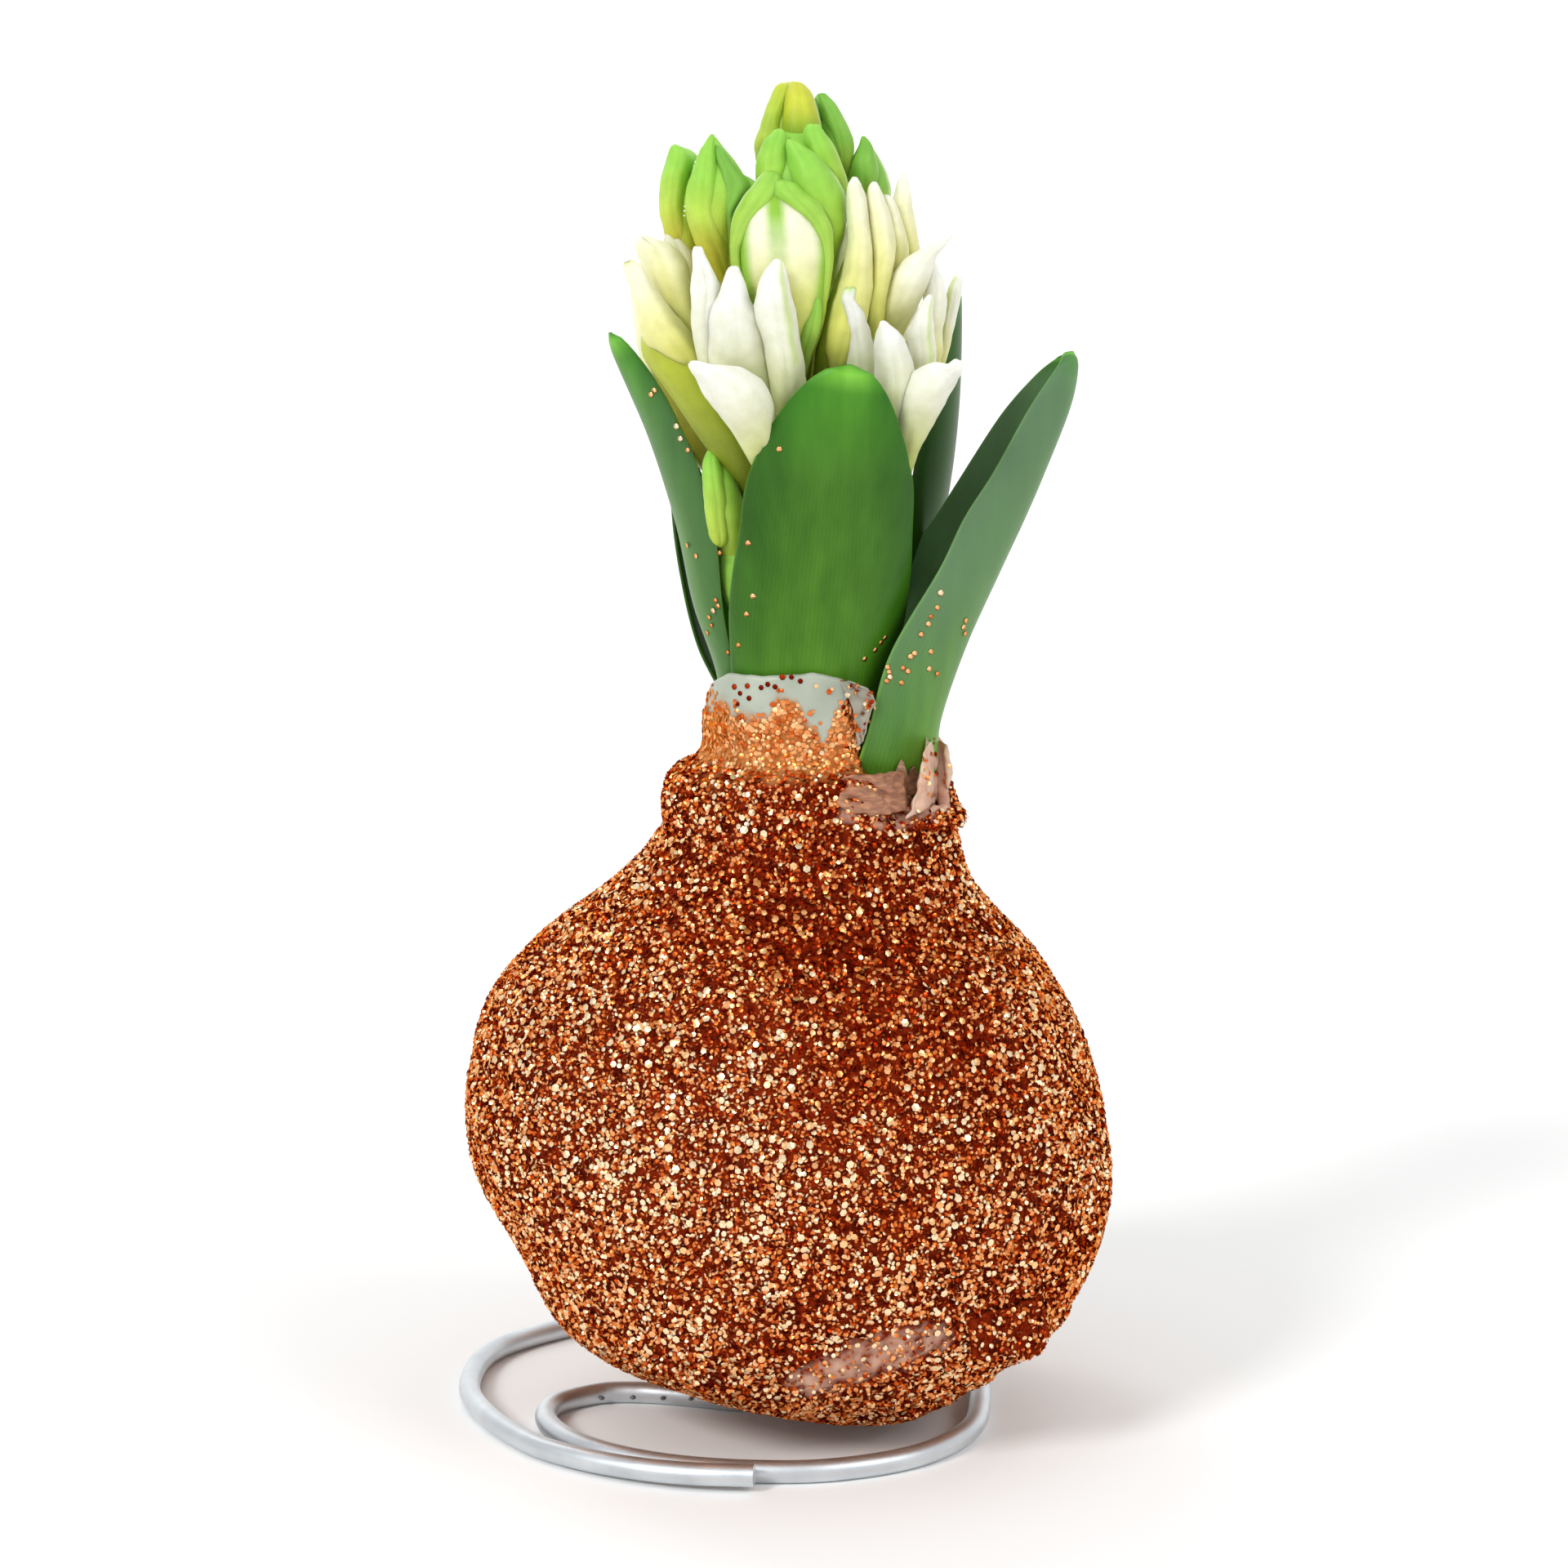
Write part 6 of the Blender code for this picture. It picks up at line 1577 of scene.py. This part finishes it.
            (1028, 222, 1040, 220, -1.6, .5), (1020, 188, 1045, 186, -3.8, 1.4), (1010, 156, 1040, 156, -4.4, 1.6),
            (1004, 132, 1027, 133, -3.8, 1.1), (1002, 118, 1013, 119, -3, .5), (1002, 115, 1006, 115, -2.6, .2)]),
    ],
    "bud_green_right_back": [
        ("deep", "core", [
            (1050, 272, 1080, 270, 0, 1.6), (1040, 242, 1091, 240, 0, 3), (1041, 215, 1088, 217, 0, 3.2),
            (1046, 193, 1078, 195, 0, 2.6), (1052, 177, 1067, 178, .2, 1.4), (1056, 168, 1059, 168, .4, .3)]),
        ("deep", "sheet", [
            (1042, 252, 1074, 252, -2.2, .8), (1039, 222, 1077, 223, -3.8, 1.6), (1044, 197, 1072, 198, -3.8, 1.5),
            (1051, 179, 1068, 182, -2.8, .7), (1055, 168, 1059, 168, -2, .2)]),
    ],
    "bud_small_left": [
        ("plain", "core", [
            (886, 690, 912, 690, -6, 1.4), (874, 642, 914, 642, -7.6, 2.6), (865, 602, 907, 601, -8.2, 2.8),
            (861, 575, 896, 573, -8.2, 2.2), (865, 556, 884, 556, -7.8, 1.2), (873, 547, 877, 547, -7.6, .3)]),
        ("plain", "sheet", [
            (868, 655, 894, 655, -9.6, .8), (862, 605, 892, 606, -11.4, 1.6), (860, 575, 885, 575, -11.2, 1.3),
            (865, 556, 878, 556, -10.2, .6), (871, 547, 875, 547, -9.4, .2)]),
    ],
}
DRAWN_COLUMNS = 21
DRAWN_THICKNESS = {"sheet": 0.55, "thin": 0.36}


def tailed(rows):
    """The outline with one more row at its foot, where the form narrows and turns inward."""
    lx, ly, rx, ry, depth, bulge = rows[0]
    middle, half = np.array((lx + rx, ly + ry)) / 2, np.array((rx - lx, ry - ly)) / 2
    away = middle - np.array((rows[1][0] + rows[1][2], rows[1][1] + rows[1][3])) / 2
    foot = middle + away / np.linalg.norm(away) * np.linalg.norm(half)
    return [(*(foot - 0.15 * half), *(foot + 0.15 * half), depth + 0.8, 0.2 * bulge), *rows]


def drawn_sheet(rows):
    """A tepal's middle surface from its outline rows, with a groove along it and ripples over it."""
    across = -np.cos(np.linspace(0, math.pi, DRAWN_COLUMNS))
    grid = []
    for lx, ly, rx, ry, depth, bulge in through(tailed(rows), TEPAL_ROWS):
        groove = 0.05 * min(rx - lx, 40) / 10
        line = []
        for t in across:
            deep = depth + bulge * t * t + groove * math.exp(-(t / 0.16) ** 2) + 0.25 * groove * math.cos(7 * t)
            point = seen(lx + (rx - lx) * (t + 1) / 2, ly + (ry - ly) * (t + 1) / 2, deep)
            waves = [0.2 * ripple(point, 2.6, k) + 0.08 * ripple(point, 1.1, k) for k in (0, 7, 14)]
            line.append(point + np.array(waves))
        grid.append(line)
    return np.array(grid), across


def drawn_core(rows):
    """A closed bud or tube from its outline rows, with its rings, and a field across it."""
    turns = np.linspace(0, 2 * math.pi, 3 * DRAWN_COLUMNS, endpoint=False)
    rings = np.array([[seen((lx + rx) / 2 + (rx - lx) / 2 * math.cos(u), (ly + ry) / 2 + (ry - ly) / 2 * math.cos(u),
                            depth - half * math.sin(u)) for u in turns]
                      for lx, ly, rx, ry, depth, half in through(tailed(rows), TEPAL_ROWS)])
    return rings, np.cos(turns)


FOOT_SHARE = {"open": (0.30, 0.5), "half": (0.34, 0.5), "bud": (0.42, 0.6), "small": (0.5, 0.6)}


def floret_foot(name):
    """The rings of a drawn floret's foot, which joins it to the stem along the rule's own axis."""
    share, size = FOOT_SHARE[FLORETS[name][0]]
    turns = np.linspace(0, 2 * math.pi, 24, endpoint=False)
    spine = SPINES[name][1:int(share * len(SPINES[name])) + 2]
    sizes = size * np.sqrt(1 - 0.97 * np.linspace(0, 1, len(spine)) ** 3)
    rings = [[row[:3] + wide * (math.cos(u) * np.array((*row[5:], 0)) + math.sin(u) * np.array((*row[3:5], 0)))
              for u in turns] for row, wide in zip(spine, sizes)]
    return np.array(rings), np.cos(turns)


# %% [markdown]
# Now the head. Behind the drawn tepals, and on the florets that no one drew, the rule fills in: for
# each floret a list says at which angle a tepal stands, which form it has and how it is tinted.


# %% Flower head
CURLED_AT = {"floret_white_back_right": (10, 20), "floret_white_back_left": (-14, -20)}
BEHIND = {"floret_white_front_left": (160, 205), "floret_white_front_right": (110, 160),
          "floret_cream_left": (20, 260, 320), "floret_cream_right": (60, 120),
          "floret_cream_front_right": (150, 210)}


def tepal_list(name, kind):
    """Angle, form, size, length, width, role and sweep of each tepal."""
    if name in BEHIND:
        return [(angle, "upright" if kind == "open" else "folded", 0.9, 0.9, 1.0, "plain", 0) for angle in BEHIND[name]]
    if name in DRAWN:
        return []
    if kind == "open":
        first, sweep = CURLED_AT[name]
        return [(first + 60 * k, "upright" if k else "curled", (1.04, 0.94)[k % 2], 1.0 - 0.03 * (k % 3), 1.0,
                 "plain", 0 if k else sweep) for k in range(6)]
    if kind == "half":
        return [(20 + 60 * k, "folded", (1.06, 0.92)[k % 2], 1.0 - 0.04 * (k % 2), 1.0, "plain", 0) for k in range(6)]
    inner = [(90 + 120 * k, "closed", 0.93, 0.98, 0.95, "plain", 0) for k in range(3)]
    return inner + [(30 + 120 * k, "closed", 1.0, 1.0, 0.98, "plain", 0) for k in range(3)]


def tepal_body(surface, across, thickness):
    """A tepal's sheet: thin at its margins and its tip, and drawn in at its foot."""
    ends = np.interp(np.linspace(0, 1, TEPAL_ROWS), [0, 0.1, 0.9, 1], [0.6, 1, 0.9, 0.3])
    return sheet_body(surface, thickness * (1 - across ** 6)[None, :] ** 0.5 * ends[:, None])


def closed_body(rings):
    """A bud, a tube or a foot: a loft that is closed in the middle of its end rings."""
    return loft(rings, rings[0].mean(axis=0), rings[-1].mean(axis=0))


def closed_field(values):
    """A field on the rings of a closed body, laid out as loft lays out its vertices."""
    return np.concatenate([values.reshape(-1, *values.shape[2:]), values[:1, 0], values[-1:, 0]])


def floret_parts(name, kind):
    """Gives each part's body, the layout of its fields, its rows along and columns across, its role."""
    steps = np.linspace(0, 1, TEPAL_ROWS)
    for *shape, role, sweep in tepal_list(name, kind):
        surface, across = tepal(name, *shape, sweep)
        vertices, faces = tepal_body(surface, across, TEPAL_THICKNESS)
        yield (pressed(vertices, name), faces), sheet_field, steps, across, role
    if name in DRAWN:
        rings, across = floret_foot(name)
        yield closed_body(rings), closed_field, np.linspace(0, 0.1, len(rings)), across, "plain"
    for role, form, outline in DRAWN.get(name, []):
        rows = np.clip((steps * len(outline) - 1) / (len(outline) - 1), 0, 1)
        if form == "core":
            rings, across = drawn_core(outline)
            yield closed_body(rings), closed_field, rows, across, role
        else:
            surface, across = drawn_sheet(outline)
            yield tepal_body(surface, across, DRAWN_THICKNESS[form]), sheet_field, rows, across, role


def make_floret(name):
    kind = FLORETS[name][0]
    bodies, fields = [], {"along": [], "across": [], "tint": []}
    for body, layout, rows, across, role in floret_parts(name, kind):
        along_grid, across_grid = rows[:, None] * np.ones(len(across)), np.ones((len(rows), 1)) * across
        bodies.append(body)
        for field, grid in zip(fields, (along_grid, across_grid, tint(kind, along_grid, across_grid, role))):
            fields[field].append(layout(grid))
    piece = name.replace("floret", "open_floret" if kind == "open" else "floret_half")
    make_piece(piece, bodies, TEPALS.get(kind, TEPALS["bud"]), SLOTS[kind], [name], **fields)

for floret in FLORETS:
    make_floret(floret)


# %% [markdown]
# A thread of sap dried in tiny pale beads on the edge of one green bud. They are under half a
# millimetre, so plain round beads set along the drawn edge are enough.


# %% Beads of dried sap
SAP_PATH = [(856, 188), (850, 206), (846, 224), (841, 244), (838, 264)]    # picture places on the bud's edge
SAP_DEPTH = -11.4
DRIED_SAP = mottled("dried sap", (0.3,), [(0.3, "#DEDAB8"), (0.7, "#F1EFD8")], Roughness=0.45)
drops = [bead(seen(x, y, SAP_DEPTH), 0.16 + 0.04 * math.sin(5 * x)) for x, y in through(SAP_PATH, 15)]
make_piece("sap_beads_on_bud", drops, DRIED_SAP, "bud")
